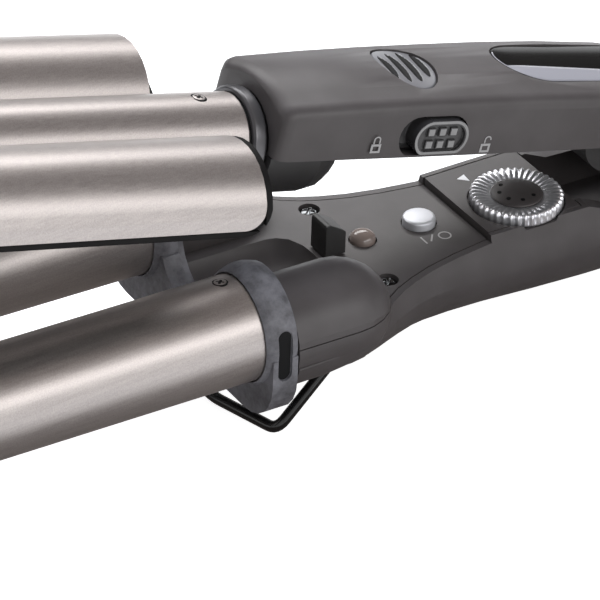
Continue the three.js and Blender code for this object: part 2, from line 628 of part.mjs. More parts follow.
// Cuts the lower corner at the handle end of a shell to a round one
function cornerTool(rim, low, radius) {
  const shape = new THREE.Shape();
  shape.moveTo(rim - radius, low - radius);
  shape.lineTo(rim + radius, low - radius);
  shape.lineTo(rim + radius, low + radius);
  shape.lineTo(rim, low + radius);
  shape.absarc(rim - radius, low + radius, radius, 0, -Math.PI / 2, true);
  return shape;
}

function shellNode(side) {
  const sector = ringSector(SHELL_SPREAD, SHELL_RADIUS - SHELL_WALL, SHELL_RADIUS, SHELL_LOW, SHELL_HIGH, side);
  const body = prism('x', sector, -BARREL_LENGTH, SHELL_RIM);
  const low = SHELL_RADIUS * Math.sin(THREE.MathUtils.degToRad(SHELL_LOW));
  return cut(body, outerCorner(cornerTool(SHELL_RIM, low, CORNER), side));
}

function outerCorner(shape, side) {
  const [a, b] = [side * (SHELL_SPREAD + 4), side * FAR];
  return prism('y', shape, Math.min(a, b), Math.max(a, b), 5);
}

function linerNode(side) {
  const outer = SHELL_RADIUS - SHELL_WALL - LINER_GAP;
  const inner = outer - LINER_WALL;
  const low = SHELL_LOW - HEM;
  const high = SHELL_HIGH - 2;
  const end = SHELL_RIM + LIP;
  const skin = prism('x', ringSector(SHELL_SPREAD, inner, outer, low, high, side), -BARREL_LENGTH, end);
  const lip = prism('x', ringSector(SHELL_SPREAD, inner, SHELL_RADIUS - LINER_GAP, low, high, side),
    SHELL_RIM + LINER_GAP, end);
  const hem = ringSector(SHELL_SPREAD, inner, SHELL_RADIUS - LINER_GAP, low, SHELL_LOW - 1, side);
  const body = join(skin, lip, prism('x', hem, -BARREL_LENGTH, end));
  const edge = SHELL_RADIUS * Math.sin(THREE.MathUtils.degToRad(low));
  return cut(body, outerCorner(cornerTool(end, edge, CORNER + LIP), side));
}

function upperTip() {
  const face = -BARREL_LENGTH - FIT;
  let body = domedPlug(MIDDLE_RADIUS, [0, MIDDLE_RISE], true);
  const inner = SHELL_RADIUS - SHELL_WALL - LINER_WALL - LINER_GAP;
  [1, -1].forEach((side) => {
    const arc = ringSector(SHELL_SPREAD, inner, SHELL_RADIUS, SHELL_LOW - HEM, SHELL_HIGH + 3, side);
    const [a, b] = [side * (MIDDLE_RADIUS - 3), side * (SHELL_SPREAD - SHELL_RADIUS + SHELL_WALL)];
    const bridge = box(face - SHELL_CAP, face, Math.min(a, b), Math.max(a, b), 0.5, MIDDLE_RISE + 2);
    body = join(body, prism('x', arc, face - SHELL_CAP, face), bridge);
  });
  return body;
}

// Controls on the deck
function deckScrew(side) {
  const top = DECK_Z - SCREW_SINK + 0.4;
  const at = [SCREW_X, side * SCREW_Y];
  return join(rod('z', SCREW_HEAD, top - 1.1, top, at, 14),
    rod('z', SCREW_SHANK, DECK_FLOOR - SCREW_REACH, top - 0.5, at, 8));
}

function stopPost() {
  const end = POST_START + POST_LENGTH;
  const profile = [[POST_START, DECK_Z + FIT], [end, DECK_Z + FIT], [end, POST_BACK], [end - 0.7, POST_BACK + 0.6],
    [POST_START + 1.3, POST_TOP], [POST_START + 0.3, POST_TOP - 0.2], [POST_START, POST_TOP - 0.9]];
  const body = join(prism('y', shapeOf(profile), -POST_HALF, POST_HALF),
    box(POST_START + 1.9, end - 0.8, -2, 2, DECK_FLOOR, DECK_Z + 1));
  return cut(body, box(end - 2.6, end + 2, -2.4, 2.4, HOOK_LOW - FIT, HOOK_LOW + HOOK_THICK + FIT));
}

function lightLens() {
  const top = DECK_Z + LIGHT_RISE;
  const profile = [[DECK_FLOOR, 0], [DECK_FLOOR, LIGHT_RADIUS], [DECK_Z + 0.5, LIGHT_RADIUS]];
  for (let i = 1; i <= 5; i += 1) {
    const angle = (i / 5) * (Math.PI / 2);
    const rise = (top - DECK_Z - 0.5) * Math.sin(angle);
    profile.push([DECK_Z + 0.5 + rise, i === 5 ? 0 : LIGHT_RADIUS * Math.cos(angle)]);
  }
  return turned('z', profile, [LIGHT_X, 0], 16);
}

function powerButton() {
  const top = DECK_Z + BUTTON_RISE;
  const flange = DECK_FLOOR - FIT;
  const profile = [[flange - 1, 0], [flange - 1, BUTTON_RADIUS + 1.2], [flange, BUTTON_RADIUS + 1.2],
    [flange, BUTTON_RADIUS], [top - 0.5, BUTTON_RADIUS], [top - 0.1, BUTTON_RADIUS - 0.35],
    [top, BUTTON_RADIUS - 0.8], [top, 0]];
  return turned('z', profile, [BUTTON_X, 0], 20);
}

function powerSwitch() {
  const top = DECK_FLOOR - FIT - 1 - BUTTON_TRAVEL - FIT;
  return box(BUTTON_X - 4, BUTTON_X + 4, -4, 4, BOARD_TOP + FIT, top);
}

// Knurled dial ring: ribs run up the rim and over its sloping top
function dialRing() {
  const bottom = DIAL_TOP - DIAL_THICK;
  const profile = [[DIAL_RADIUS - 0.5, bottom, 0], [DIAL_RADIUS, bottom + 0.5, 1], [DIAL_RADIUS, DIAL_TOP - 0.9, 1],
    [DIAL_RADIUS - 0.8, DIAL_TOP - 0.1, 1], [HUB_RADIUS + 1.2, DIAL_TOP - 0.7, 1], [HUB_RADIUS, DIAL_TOP - 1.1, 0]];
  const steps = DIAL_RIBS * 2;
  const positions = [];
  const triangles = [];
  profile.forEach(([radius, z, ribbed], row) => {
    for (let i = 0; i < steps; i += 1) {
      const angle = (i / steps) * 2 * Math.PI;
      const dip = ribbed && i % 2 === 0 ? DIAL_RIB_DEPTH : 0;
      const sideways = row <= 3 ? dip : 0;
      positions.push((radius - sideways) * Math.cos(angle), (radius - sideways) * Math.sin(angle),
        z - (row >= 3 ? dip : 0));
    }
  });
  positions.push(0, 0, bottom, 0, 0, DIAL_TOP - 1.1);
  const [low, high] = [positions.length / 3 - 2, positions.length / 3 - 1];
  for (let i = 0; i < steps; i += 1) {
    const k = (i + 1) % steps;
    for (let row = 0; row < profile.length - 1; row += 1) {
      const [a, b] = [row * steps + i, row * steps + k];
      triangles.push(a, b, b + steps, a, b + steps, a + steps);
    }
    const last = (profile.length - 1) * steps;
    triangles.push(low, k, i, high, last + i, last + k);
  }
  const geometry = new THREE.BufferGeometry();
  geometry.setAttribute('position', new THREE.Float32BufferAttribute(positions, 3));
  geometry.setIndex(triangles);
  const ring = solid(geometry.translate(DIAL_X, DIAL_Y, 0));
  return cut(ring, rod('z', SHAFT_RADIUS, bottom - 1, bottom + 1.6, [DIAL_X, DIAL_Y], 16));
}

function dialHub() {
  const seat = DIAL_TOP - 1.1 + FIT;
  const profile = [[seat, 0], [seat, HUB_RADIUS - FIT], [seat + 0.3, HUB_RADIUS - FIT],
    [seat + 0.7, HUB_RADIUS - 2.5], [seat + 0.85, 0]];
  return turned('z', profile, [DIAL_X, DIAL_Y], 28);
}

function dialShaft() {
  const top = DIAL_TOP - DIAL_THICK + 1.6 - FIT;
  return rod('z', SHAFT_RADIUS - FIT, DECK_FLOOR - 1, top, [DIAL_X, DIAL_Y], 16);
}

function potentiometer() {
  return rod('z', 7, BOARD_TOP + FIT, DECK_FLOOR - 1 - FIT, [DIAL_X, DIAL_Y], 24);
}

function powerLight() {
  return rod('z', 2, BOARD_TOP + FIT, DECK_FLOOR - FIT, [LIGHT_X, 0], 16);
}

// Tube of one wire along a path of points, ends cut square
function wire(curve, radius, steps, sides) {
  const section = new THREE.Shape();
  for (let i = 0; i < sides; i += 1) {
    const angle = (i / sides) * 2 * Math.PI;
    const [a, b] = [radius * Math.cos(angle), radius * Math.sin(angle)];
    if (i === 0) section.moveTo(a, b);
    else section.lineTo(a, b);
  }
  return solid(new THREE.ExtrudeGeometry(section, { steps, bevelEnabled: false, extrudePath: curve }));
}

// Corner points of a path, each rounded to a bend radius
function bentPath(corners, bend) {
  const path = new THREE.CurvePath();
  const points = corners.map((c) => new THREE.Vector3(...c));
  let last = points[0];
  for (let i = 1; i < points.length - 1; i += 1) {
    const before = points[i - 1].clone().sub(points[i]);
    const after = points[i + 1].clone().sub(points[i]);
    const back = Math.min(bend, before.length() / 2, after.length() / 2);
    const start = points[i].clone().add(before.setLength(back));
    const end = points[i].clone().add(after.setLength(back));
    path.add(new THREE.LineCurve3(last, start));
    path.add(new THREE.QuadraticBezierCurve3(start, points[i], end));
    last = end;
  }
  path.add(new THREE.LineCurve3(last, points[points.length - 1]));
  return path;
}

function stand() {
  const corner = [STAND_X - STAND_REACH, STAND_Z - STAND_DROP];
  const tilt = Math.atan2(STAND_REACH, STAND_DROP);
  const low = [corner[0] - STAND_BOW * Math.sin(tilt), corner[1] - STAND_BOW * Math.cos(tilt)];
  const half = [[STAND_X, STAND_HALF - STAND_INWARD, STAND_Z], [STAND_X, STAND_HALF, STAND_Z],
    [corner[0], STAND_HALF, corner[1]], [low[0], STAND_FLAT, low[1]]];
  const other = half.map(([x, y, z]) => [x, -y, z]).reverse();
  return wire(bentPath([...half, ...other], STAND_BEND), WIRE_RADIUS, 40, 8);
}

function hingeSpring() {
  const across = (SPRING_TURNS * SPRING_PITCH) / 2;
  const points = [];
  const low = THREE.MathUtils.degToRad(200);
  const high = THREE.MathUtils.degToRad(160 - OPEN_ANGLE);
  const sweep = SPRING_TURNS * 2 * Math.PI + (low - high);
  const on = (angle, y) => new THREE.Vector3(SPRING_RADIUS * Math.cos(angle), y, SPRING_RADIUS * Math.sin(angle));
  const start = high + Math.PI / 2;
  const steps = SPRING_TURNS * CURL_STEPS;
  for (let i = 0; i <= steps; i += 1) {
    const share = i / steps;
    points.push(on(start - share * (sweep - Math.PI), -across + 2 * across * share));
  }
  const first = points[0].clone().add(new THREE.Vector3(-SPRING_LEG * Math.cos(high - Math.PI), 0,
    SPRING_LEG * Math.sin(high)).setLength(SPRING_LEG));
  const lastAngle = start - (sweep - Math.PI);
  const leave = new THREE.Vector3(Math.sin(lastAngle), 0, -Math.cos(lastAngle)).setLength(SPRING_LEG);
  const last = points[points.length - 1].clone().add(leave);
  const curve = new THREE.CatmullRomCurve3([first, ...points, last], false, 'centripetal');
  printLeastGap(points);
  return wire(curve, SPRING_WIRE, steps + 8, 5);
}

// Least gap between the wire and itself, measured between points at least half a turn apart
function printLeastGap(points) {
  let least = Infinity;
  points.forEach((p, i) => {
    points.slice(i + CURL_STEPS / 2).forEach((q) => { least = Math.min(least, p.distanceTo(q)); });
  });
  console.log(`hinge spring: least gap to itself ${(least - 2 * SPRING_WIRE).toFixed(2)} mm`);
}

function cordGland() {
  const face = HOUSING_END + FIT;
  const neck = GLAND_RADIUS - 2;
  const profile = [[face - 5.6, GLAND_BORE], [face - 5.6, neck + 1.5], [face - 4.3, neck + 1.5], [face - 4.3, neck],
    [face, neck], [face, GLAND_RADIUS], [face + 3, GLAND_RADIUS], [face + GLAND_LENGTH, GLAND_RADIUS - 1.8],
    [face + GLAND_LENGTH, GLAND_BORE], [face - 5.6, GLAND_BORE]];
  return turned('x', profile, [0, GLAND_Z], 16);
}

// Upper handle
const upperHull = () => solid(loft(UPPER_STATIONS, (x) => upperSection(x, 0, 0)));
const sunkHull = (depth) => solid(loft(UPPER_STATIONS, (x) => upperSection(x, 0, 0)).translate(0, 0, -depth));

const padShape = (inset) => ellipseShape(PAD_X, 0, PAD_HALF_X - inset, PAD_HALF_Y - inset);

function windowShape(inset) {
  const [end, half] = [WINDOW_END - inset, WINDOW_HALF_Y - inset];
  const steps = 16;
  const outline = [];
  [1, -1].forEach((side) => {
    for (let i = 0; i <= steps; i += 1) {
      const angle = (i / steps - side / 2) * Math.PI;
      const x = WINDOW_X + side * (WINDOW_HALF_X - WINDOW_END) + end * Math.cos(angle);
      outline.push([x, half * Math.sin(angle)]);
    }
  });
  return shapeOf(outline);
}

// Almond groove across the pad
function grooveShape(x, reach) {
  const steps = 16;
  const outline = [];
  for (let i = 0; i < steps; i += 1) {
    const angle = (i / steps) * 2 * Math.PI;
    const y = reach * Math.sin(angle);
    outline.push([x + GROOVE_HALF * Math.cos(angle) + GROOVE_SLANT * y, y]);
  }
  return shapeOf(outline);
}

const HOOK_LOW = -2.25;
const HOOK_THICK = 1.2;
const SLIDE_REST = LOCK_TRAVEL / 2;
const CAVITY_END = HANDLE_END - 5;               // rear end of the hollow in the cover
const PLATE_END = CAVITY_END - FIT;
const WALL_Y = UPPER_WIDE[1][1] - HANDLE_WALL;   // inner face of the near wall at the lock
const LOCK_BACK = WALL_Y - 0.6 - FIT;            // outer face of the slider's flange, clear of the leaning wall

// What stands over the bottom edge of the handle wall by more than a height
const clearOfEdge = (height) => box(0, FAR, -FAR, FAR, HANDLE_FLOOR + height, FAR);

// Well of the lock slider, from one depth to another
function lockWell(from, to) {
  return prism('y', obround(LOCK_X, LOCK_Z, LOCK_WELL_X, LOCK_WELL_Z), from, to, 6)
    .intersect(clearOfEdge(LOCK_LEDGE));
}

// Recess of even depth in the top of the handle
const recess = (shape) => cut(prism('z', shape, HANDLE_FLOOR + PLATE_THICK, FAR, 10), sunkHull(SKIN));

function upperCover() {
  const inner = UPPER_STATIONS.filter((x) => x > HANDLE_START + HANDLE_WALL && x < CAVITY_END - 1);
  const stations = [HANDLE_START + HANDLE_WALL, ...inner, CAVITY_END];
  const hollow = solid(loft(stations, (x) => upperSection(x, HANDLE_WALL, 3)));
  return cut(upperHull(), hollow, rod('x', SLEEVE_RADIUS + 1 + FIT, 0, HANDLE_START + 6, [0, MIDDLE_RISE], 28),
    recess(padShape(0)), recess(windowShape(0)),
    lockWell(-FAR, -WALL_Y + 1.5));
}

function underside() {
  const start = HANDLE_START + HANDLE_WALL + FIT;
  const inner = UPPER_STATIONS.filter((x) => x > start + 0.3 && x < PLATE_END - 0.3);
  const edge = (x) => upperSection(x, HANDLE_WALL + FIT, 0)[0][0];
  const xs = [start, ...inner, PLATE_END];
  const outline = shapeOf([...xs.map((x) => [x, -edge(x)]), ...xs.map((x) => [x, edge(x)]).reverse()]);
  const plate = prism('z', outline, HANDLE_FLOOR, HANDLE_FLOOR + PLATE_THICK);
  const boss = roundNosed(start + 2, UPPER_BOSS_END, UPPER_BOSS_RADIUS, UPPER_BOSS_FILLET);
  const chin = cut(roundNosed(HANDLE_START, UPPER_BOSS_END, UPPER_BOSS_RADIUS, UPPER_BOSS_FILLET),
    box(0, FAR, -FAR, FAR, HANDLE_FLOOR - FIT, FAR));
  const neck = rod('x', SLEEVE_RADIUS, MIDDLE_RIM + FIT, HANDLE_START + 8, [0, MIDDLE_RISE], 28);
  const spigot = rod('x', MIDDLE_RADIUS - BARREL_WALL - FIT, MIDDLE_RIM - 7, MIDDLE_RIM + 1, [0, MIDDLE_RISE], 24);
  const low = boss.intersect(box(0, FAR, -FAR, FAR, HANDLE_FLOOR - 1, HANDLE_FLOOR + 7))
    .intersect(prism('z', outline, 0, FAR));
  const slot = box(POST_START + POST_LENGTH - 2.4, LOCK_LEG + 1.9, -2.1, 2.1, 0, 8);
  return cut(join(plate, chin, neck, spigot, low, tongue()), slot, lockWell(-FAR, -LOCK_BACK + 1), tongueCuts());
}

// Leg of the lock, its front face at rest
const LOCK_LEG = POST_START + POST_LENGTH + RUN + LOCK_TRAVEL - 0.2;

// Hinge tongue under the rear of the upper handle
function tongue() {
  const shape = new THREE.Shape();
  const bottom = HINGE_Z - CHEEK_RADIUS;
  shape.moveTo(TONGUE_START, HANDLE_FLOOR + 1);
  shape.lineTo(TONGUE_START, HANDLE_FLOOR - 1);
  const low = HANDLE_FLOOR - TONGUE_DROP;
  shape.quadraticCurveTo(TONGUE_START + 0.6, low + 2, TONGUE_START + TONGUE_BEND, low);
  shape.lineTo(HINGE_X - 6, bottom);
  shape.lineTo(HINGE_X, bottom);
  shape.absarc(HINGE_X, HINGE_Z, CHEEK_RADIUS, -Math.PI / 2, 0);
  shape.lineTo(HINGE_X + CHEEK_RADIUS, HANDLE_FLOOR - FIT);
  shape.lineTo(PLATE_END, HANDLE_FLOOR - FIT);
  shape.lineTo(PLATE_END, HANDLE_FLOOR + 1);
  const half = WELL_HALF - RUN;
  return prism('y', shape, -half, half, 6);
}

function tongueCuts() {
  const springRoom = box(HINGE_X - SPRING_LEG - 4, HINGE_X + CHEEK_RADIUS + 2, -5, 5, HINGE_Z - FAR, HANDLE_FLOOR);
  const pin = rod('y', PIN_RADIUS + FIT, -FAR, FAR, [HINGE_X, HINGE_Z], 16);
  const [front, back] = [TONGUE_START + TONGUE_BEND + 2, HINGE_X - SPRING_LEG - HOLLOW_BACK];
  const lighten = box(front, back, -HOLLOW_HALF, HOLLOW_HALF, -FAR, HANDLE_FLOOR - 1);
  return join(springRoom, pin, lighten);
}

function fingerPad() {
  const seat = sunkHull(SKIN - FIT);
  const base = cut(sunkHull(PAD_SINK), seat).intersect(prism('z', padShape(FIT), 0, FAR, 10));
  const grooves = [];
  for (let i = 0; i < GROOVES; i += 1) {
    const along = (i - (GROOVES - 1) / 2) * GROOVE_PITCH;
    const reach = GROOVE_SHARE * PAD_HALF_Y * Math.sqrt(1 - (along / PAD_HALF_X) ** 2);
    grooves.push(prism('z', grooveShape(PAD_X + along, reach), 0, FAR));
  }
  return cut(base, cut(join(...grooves), sunkHull(PAD_SINK + GROOVE_DEPTH)));
}

function labelWindow() {
  return cut(sunkHull(0.25), sunkHull(SKIN - FIT)).intersect(prism('z', windowShape(FIT), 0, FAR));
}

function lockSlider() {
  const x = LOCK_X + SLIDE_REST;
  const outer = UPPER_WIDE[1][1] + LOCK_PROUD;
  const back = LOCK_BACK;
  const grip = prism('y', obround(x, LOCK_Z, LOCK_GRIP_X, LOCK_GRIP_Z), -outer, -back + 0.5, 6)
    .intersect(clearOfEdge(LOCK_LEDGE + RUN));
  const face = obround(x, LOCK_Z, LOCK_GRIP_X - LOCK_RIM, LOCK_GRIP_Z - LOCK_RIM);
  let body = cut(grip, prism('y', face, -FAR, -outer + LOCK_SINK, 6));
  for (let i = -1; i <= 1; i += 1) {
    [-1, 1].forEach((row) => {
      const [sx, sz, half] = [x + i * STUD_PITCH, LOCK_Z + (row * STUD_PITCH) / 2, STUD_SIZE / 2];
      body = join(body, box(sx - half, sx + half, -outer + 0.2, -outer + LOCK_SINK + 0.2, sz - half, sz + half));
    });
  }
  const low = HANDLE_FLOOR + PLATE_THICK + FIT;
  const flange = box(x - LOCK_FLANGE_X, x + LOCK_FLANGE_X, -back, -back + 1.2, low, LOCK_Z + LOCK_WELL_Z - 0.6);
  const arm = box(LOCK_LEG, x + 3, -back + 0.6, 1.5, low + 0.4, low + 2.4);
  const leg = box(LOCK_LEG, LOCK_LEG + 1.4, -1.5, 1.5, HOOK_LOW, low + 1);
  const toe = box(LOCK_LEG - 2.3, LOCK_LEG + 1.4, -1.5, 1.5, HOOK_LOW, HOOK_LOW + HOOK_THICK);
  return join(body, flange, arm, leg, toe);
}

function barrelRing() {
  const inner = SLEEVE_RADIUS + FIT;
  const end = RING_START + RING_LENGTH;
  const profile = [[RING_START, inner], [RING_START, RING_RADIUS - 0.5], [RING_START + 0.5, RING_RADIUS],
    [end - 0.5, RING_RADIUS], [end, RING_RADIUS - 0.5], [end, inner], [RING_START, inner]];
  return turned('x', profile, [0, MIDDLE_RISE], 28);
}

// Materials
const finish = (color, roughness, metalness) => new THREE.MeshStandardMaterial({ color, roughness, metalness });
const plastic = () => finish(0x47464a, 0.55, 0);
const darkPlastic = () => finish(0x2c2b2d, 0.6, 0);
const titanium = () => finish(0xa89d97, 0.35, 1);
const collarGrey = () => finish(0x68686c, 0.7, 0);
const steel = () => finish(0xb9bbbf, 0.3, 1);

function add(group, name, body, material) {
  const mesh = new THREE.Mesh(geometryOf(body), material);
  mesh.name = name;
  group.add(mesh);
}

// Lower arm
const lowerArm = new THREE.Group();
const tubeStart = -BARREL_LENGTH;
add(lowerArm, 'lower_housing', housing(), plastic());
add(lowerArm, 'deck_cover', deckCover(), plastic());
add(lowerArm, 'dial_panel', dialPanel(), plastic());
add(lowerArm, 'barrel_collar', collar(), collarGrey());
[['far', 1], ['near', -1]].forEach(([name, side]) => {
  const at = [side * BARREL_SPREAD, 0];
  add(lowerArm, `${name}_barrel`, barrel(BARREL_RADIUS, tubeStart, SOCKET_DEPTH, at), titanium());
  add(lowerArm, `${name}_heater`, heater(BARREL_RADIUS, 0, at), steel());
  add(lowerArm, `${name}_tip_cap`, domedPlug(BARREL_RADIUS, at, true), darkPlastic());
  add(lowerArm, `${name}_deck_screw`, deckScrew(side), steel());
});
add(lowerArm, 'stop_post', stopPost(), darkPlastic());
add(lowerArm, 'light_lens', lightLens(), finish(0x9a6a4c, 0.15, 0));
add(lowerArm, 'power_light', powerLight(), finish(0xd8cfc0, 0.4, 0));
add(lowerArm, 'power_button', powerButton(), steel());
add(lowerArm, 'power_switch', powerSwitch(), darkPlastic());
add(lowerArm, 'dial_ring', dialRing(), steel());
add(lowerArm, 'dial_hub', dialHub(), plastic());
add(lowerArm, 'dial_shaft', dialShaft(), steel());
add(lowerArm, 'potentiometer', potentiometer(), darkPlastic());
add(lowerArm, 'circuit_board', box(BOARD_START, BOARD_END, -BOARD_HALF, BOARD_HALF, BOARD_TOP - BOARD_THICK,
  BOARD_TOP), finish(0x2f6b45, 0.5, 0));
add(lowerArm, 'wire_stand', stand(), finish(0x141414, 0.25, 0.4));
add(lowerArm, 'hinge_pin', rod('y', PIN_RADIUS, -CHEEK_HALF + 1.1, CHEEK_HALF - 1.1, [HINGE_X, HINGE_Z], 16), steel());
add(lowerArm, 'cord_gland', cordGland(), darkPlastic());

const spring = new THREE.Group();
spring.position.set(HINGE_X, 0, HINGE_Z);
add(spring, 'hinge_spring', hingeSpring(), steel());
lowerArm.add(spring);

// Upper arm, drawn closed and swung open about the hinge
const drawn = new THREE.Group();
drawn.position.set(-HINGE_X, 0, -HINGE_Z);
add(drawn, 'upper_cover', upperCover(), plastic());
add(drawn, 'upper_underside', underside(), darkPlastic());
add(drawn, 'finger_pad', fingerPad(), darkPlastic());
add(drawn, 'label_window', labelWindow(), finish(0x0c0c0e, 0.1, 0));
add(drawn, 'lock_slider', lockSlider(), darkPlastic());
add(drawn, 'middle_barrel', barrel(MIDDLE_RADIUS, tubeStart, MIDDLE_RIM, [0, MIDDLE_RISE]), titanium());
add(drawn, 'middle_heater', heater(MIDDLE_RADIUS, MIDDLE_RIM, [0, MIDDLE_RISE]), steel());
add(drawn, 'barrel_ring', barrelRing(), finish(0x7d8184, 0.25, 0.3));
add(drawn, 'upper_tip_cap', upperTip(), darkPlastic());
[['far', 1], ['near', -1]].forEach(([name, side]) => {
  add(drawn, `${name}_shell`, shellNode(side), titanium());
  add(drawn, `${name}_liner`, linerNode(side), finish(0x17171a, 0.7, 0));
});
const upperArm = new THREE.Group();
upperArm.position.set(HINGE_X, 0, HINGE_Z);
upperArm.rotation.y = THREE.MathUtils.degToRad(OPEN_ANGLE);
upperArm.add(drawn);

// Both arms lean by the few degrees that the stand lifts the front
const waver = new THREE.Group();
waver.add(lowerArm, upperArm);
waver.rotation.y = lean;
waver.updateMatrixWorld(true);

// Origin under the middle of the waver, on the surface it lies on
const extent = new THREE.Box3().setFromObject(waver, true);
const root = new THREE.Group();
root.add(waver);
waver.position.set(-(extent.min.x + extent.max.x) / 2, -(extent.min.y + extent.max.y) / 2, -extent.min.z);
root.updateMatrixWorld(true);

export default root;
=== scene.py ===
"""Hair waver with three barrels, lying open on its wire stand."""
import json
import math

import bmesh
import bpy
import numpy as np
from mathutils import Matrix, Vector


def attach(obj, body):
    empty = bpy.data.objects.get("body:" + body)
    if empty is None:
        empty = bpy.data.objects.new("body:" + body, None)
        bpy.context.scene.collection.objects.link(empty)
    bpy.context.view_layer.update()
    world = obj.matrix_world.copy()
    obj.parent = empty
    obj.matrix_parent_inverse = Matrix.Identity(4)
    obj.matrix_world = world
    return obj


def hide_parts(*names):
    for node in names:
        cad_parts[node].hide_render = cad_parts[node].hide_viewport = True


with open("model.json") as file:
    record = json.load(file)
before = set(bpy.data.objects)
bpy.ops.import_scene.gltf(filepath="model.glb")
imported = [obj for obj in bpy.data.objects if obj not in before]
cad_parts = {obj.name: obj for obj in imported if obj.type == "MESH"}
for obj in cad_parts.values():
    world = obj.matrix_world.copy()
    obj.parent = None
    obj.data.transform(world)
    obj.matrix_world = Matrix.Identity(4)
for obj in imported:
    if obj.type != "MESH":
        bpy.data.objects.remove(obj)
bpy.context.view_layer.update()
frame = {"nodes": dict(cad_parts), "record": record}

MM = 0.001
bpy.context.scene.view_settings.view_transform = "Standard"

body_of = {node: body for body, nodes in frame["record"]["behaviour"]["bodies"].items() for node in nodes}
slot_of = {part["node"]: part["material_slot"] for part in frame["record"]["subparts"]}
joints = {joint["name"]: joint for joint in frame["record"]["behaviour"]["joints"]}


# Drawing frames of the two arms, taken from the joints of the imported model
HINGE = Vector(joints["arm_closing"]["pos_m"])
HINGE_X = 136.5
HINGE_Z = -3.0
ALONG_LOWER = Vector(joints["gland_swivel"]["axis"]).normalized()
ALONG_UPPER = -Vector(joints["lock_slide"]["axis"]).normalized()
ACROSS = Vector((0, 1, 0))
AXIS_X, AXIS_Y, AXIS_Z = (1, 0, 0), (0, 1, 0), (0, 0, 1)


def arm_matrix(along):
    """Matrix from an arm's drawing frame, in millimetres with the arms closed, to the scene."""
    up = along.cross(ACROSS)
    turn = Matrix((along, ACROSS, up)).transposed()
    place = HINGE - turn @ (Vector((HINGE_X, 0, HINGE_Z)) * MM)
    return Matrix.LocRotScale(place, turn, None) @ Matrix.Scale(MM, 4)


LOWER = arm_matrix(ALONG_LOWER)
UPPER = arm_matrix(ALONG_UPPER)


# Meshes
SHARP_ANGLE = 32.0    # degrees between faces, past which an edge stays an edge
EDGE_ROUND = 0.25     # rounding of the moulded edges, in millimetres
FLAT_ANGLE = 0.4      # degrees up to which neighbours are joined as one flat face


def mesh_object(name, points, faces, matrix, smooth=True):
    """Object from points (n, 3) in millimetres of an arm's drawing frame, and faces as index tuples."""
    turn = np.array(matrix)
    placed = np.asarray(points, float) @ turn[:3, :3].T + turn[:3, 3]
    mesh = bpy.data.meshes.new(name)
    mesh.from_pydata(placed.tolist(), [], [tuple(int(i) for i in face) for face in faces])
    mesh.update()
    mesh.polygons.foreach_set("use_smooth", [smooth] * len(mesh.polygons))
    obj = bpy.data.objects.new(name, mesh)
    bpy.context.scene.collection.objects.link(obj)
    return obj


def grid_faces(rows, columns, closed):
    """Quads of a grid whose columns run round when closed."""
    r, c = np.meshgrid(np.arange(rows - 1), np.arange(columns if closed else columns - 1), indexing="ij")
    following = (c + 1) % columns
    here = r * columns
    beyond = (r + 1) * columns
    quads = np.stack([here + c, here + following, beyond + following, beyond + c], -1)
    return quads.reshape(-1, 4)


def outward(obj):
    """Merges doubled points, such as those of a pole, and recalculates normals so that they point out."""
    work = bmesh.new()
    work.from_mesh(obj.data)
    bmesh.ops.remove_doubles(work, verts=work.verts, dist=1e-7)
    bmesh.ops.recalc_face_normals(work, faces=work.faces)
    work.to_mesh(obj.data)
    work.free()
    return obj


def softened(node):
    """Copy of a CAD node whose curved faces shade smoothly and whose sharp edges are slightly rounded:
    the loose triangles are merged, flat neighbours joined, and edges over an angle are bevelled."""
    work = bmesh.new()
    work.from_mesh(frame["nodes"][node].data)
    bmesh.ops.remove_doubles(work, verts=work.verts, dist=2e-6)
    bmesh.ops.dissolve_limit(work, angle_limit=math.radians(FLAT_ANGLE), verts=work.verts, edges=work.edges)
    mesh = bpy.data.meshes.new(node + "_finished")
    work.to_mesh(mesh)
    work.free()
    mesh.polygons.foreach_set("use_smooth", [True] * len(mesh.polygons))
    mesh.set_sharp_from_angle(angle=math.radians(SHARP_ANGLE))
    obj = bpy.data.objects.new(node + "_finished", mesh)
    bpy.context.scene.collection.objects.link(obj)
    bevel = obj.modifiers.new("edge", "BEVEL")
    bevel.width = EDGE_ROUND * MM
    bevel.segments = 2
    bevel.limit_method = "ANGLE"
    bevel.angle_limit = math.radians(SHARP_ANGLE)
    bevel.harden_normals = True
    bevel.use_clamp_overlap = True
    return obj


def finished(obj, node, material, instead=False):
    """Hangs a scene piece on the body of a CAD node, and lets it stand for the node's solid if asked."""
    if not obj.data.materials:
        obj.data.materials.append(material)
    if instead:
        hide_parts(node)
    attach(obj, body_of[node])
    return obj


def turned_surface(name, profile, centre, columns, matrix, wave=None):
    """Surface of revolution: x = xc + r cos a, y = yc + r sin a, with r and z from the rows of the profile,
    both less what wave(row, angle) gives."""
    profile = np.asarray(profile, float)
    angle = np.linspace(0, 2 * np.pi, columns, endpoint=False)
    radius = np.repeat(profile[:, :1], columns, 1)
    height = np.repeat(profile[:, 1:2], columns, 1)
    if wave is not None:
        inward, down = wave(np.arange(len(profile))[:, None], angle[None, :])
        radius = radius - inward
        height = height - down
    x = centre[0] + radius * np.cos(angle)
    y = centre[1] + radius * np.sin(angle)
    points = np.stack([x, y, height], -1).reshape(-1, 3)
    return outward(mesh_object(name, points, grid_faces(len(profile), columns, True), matrix))


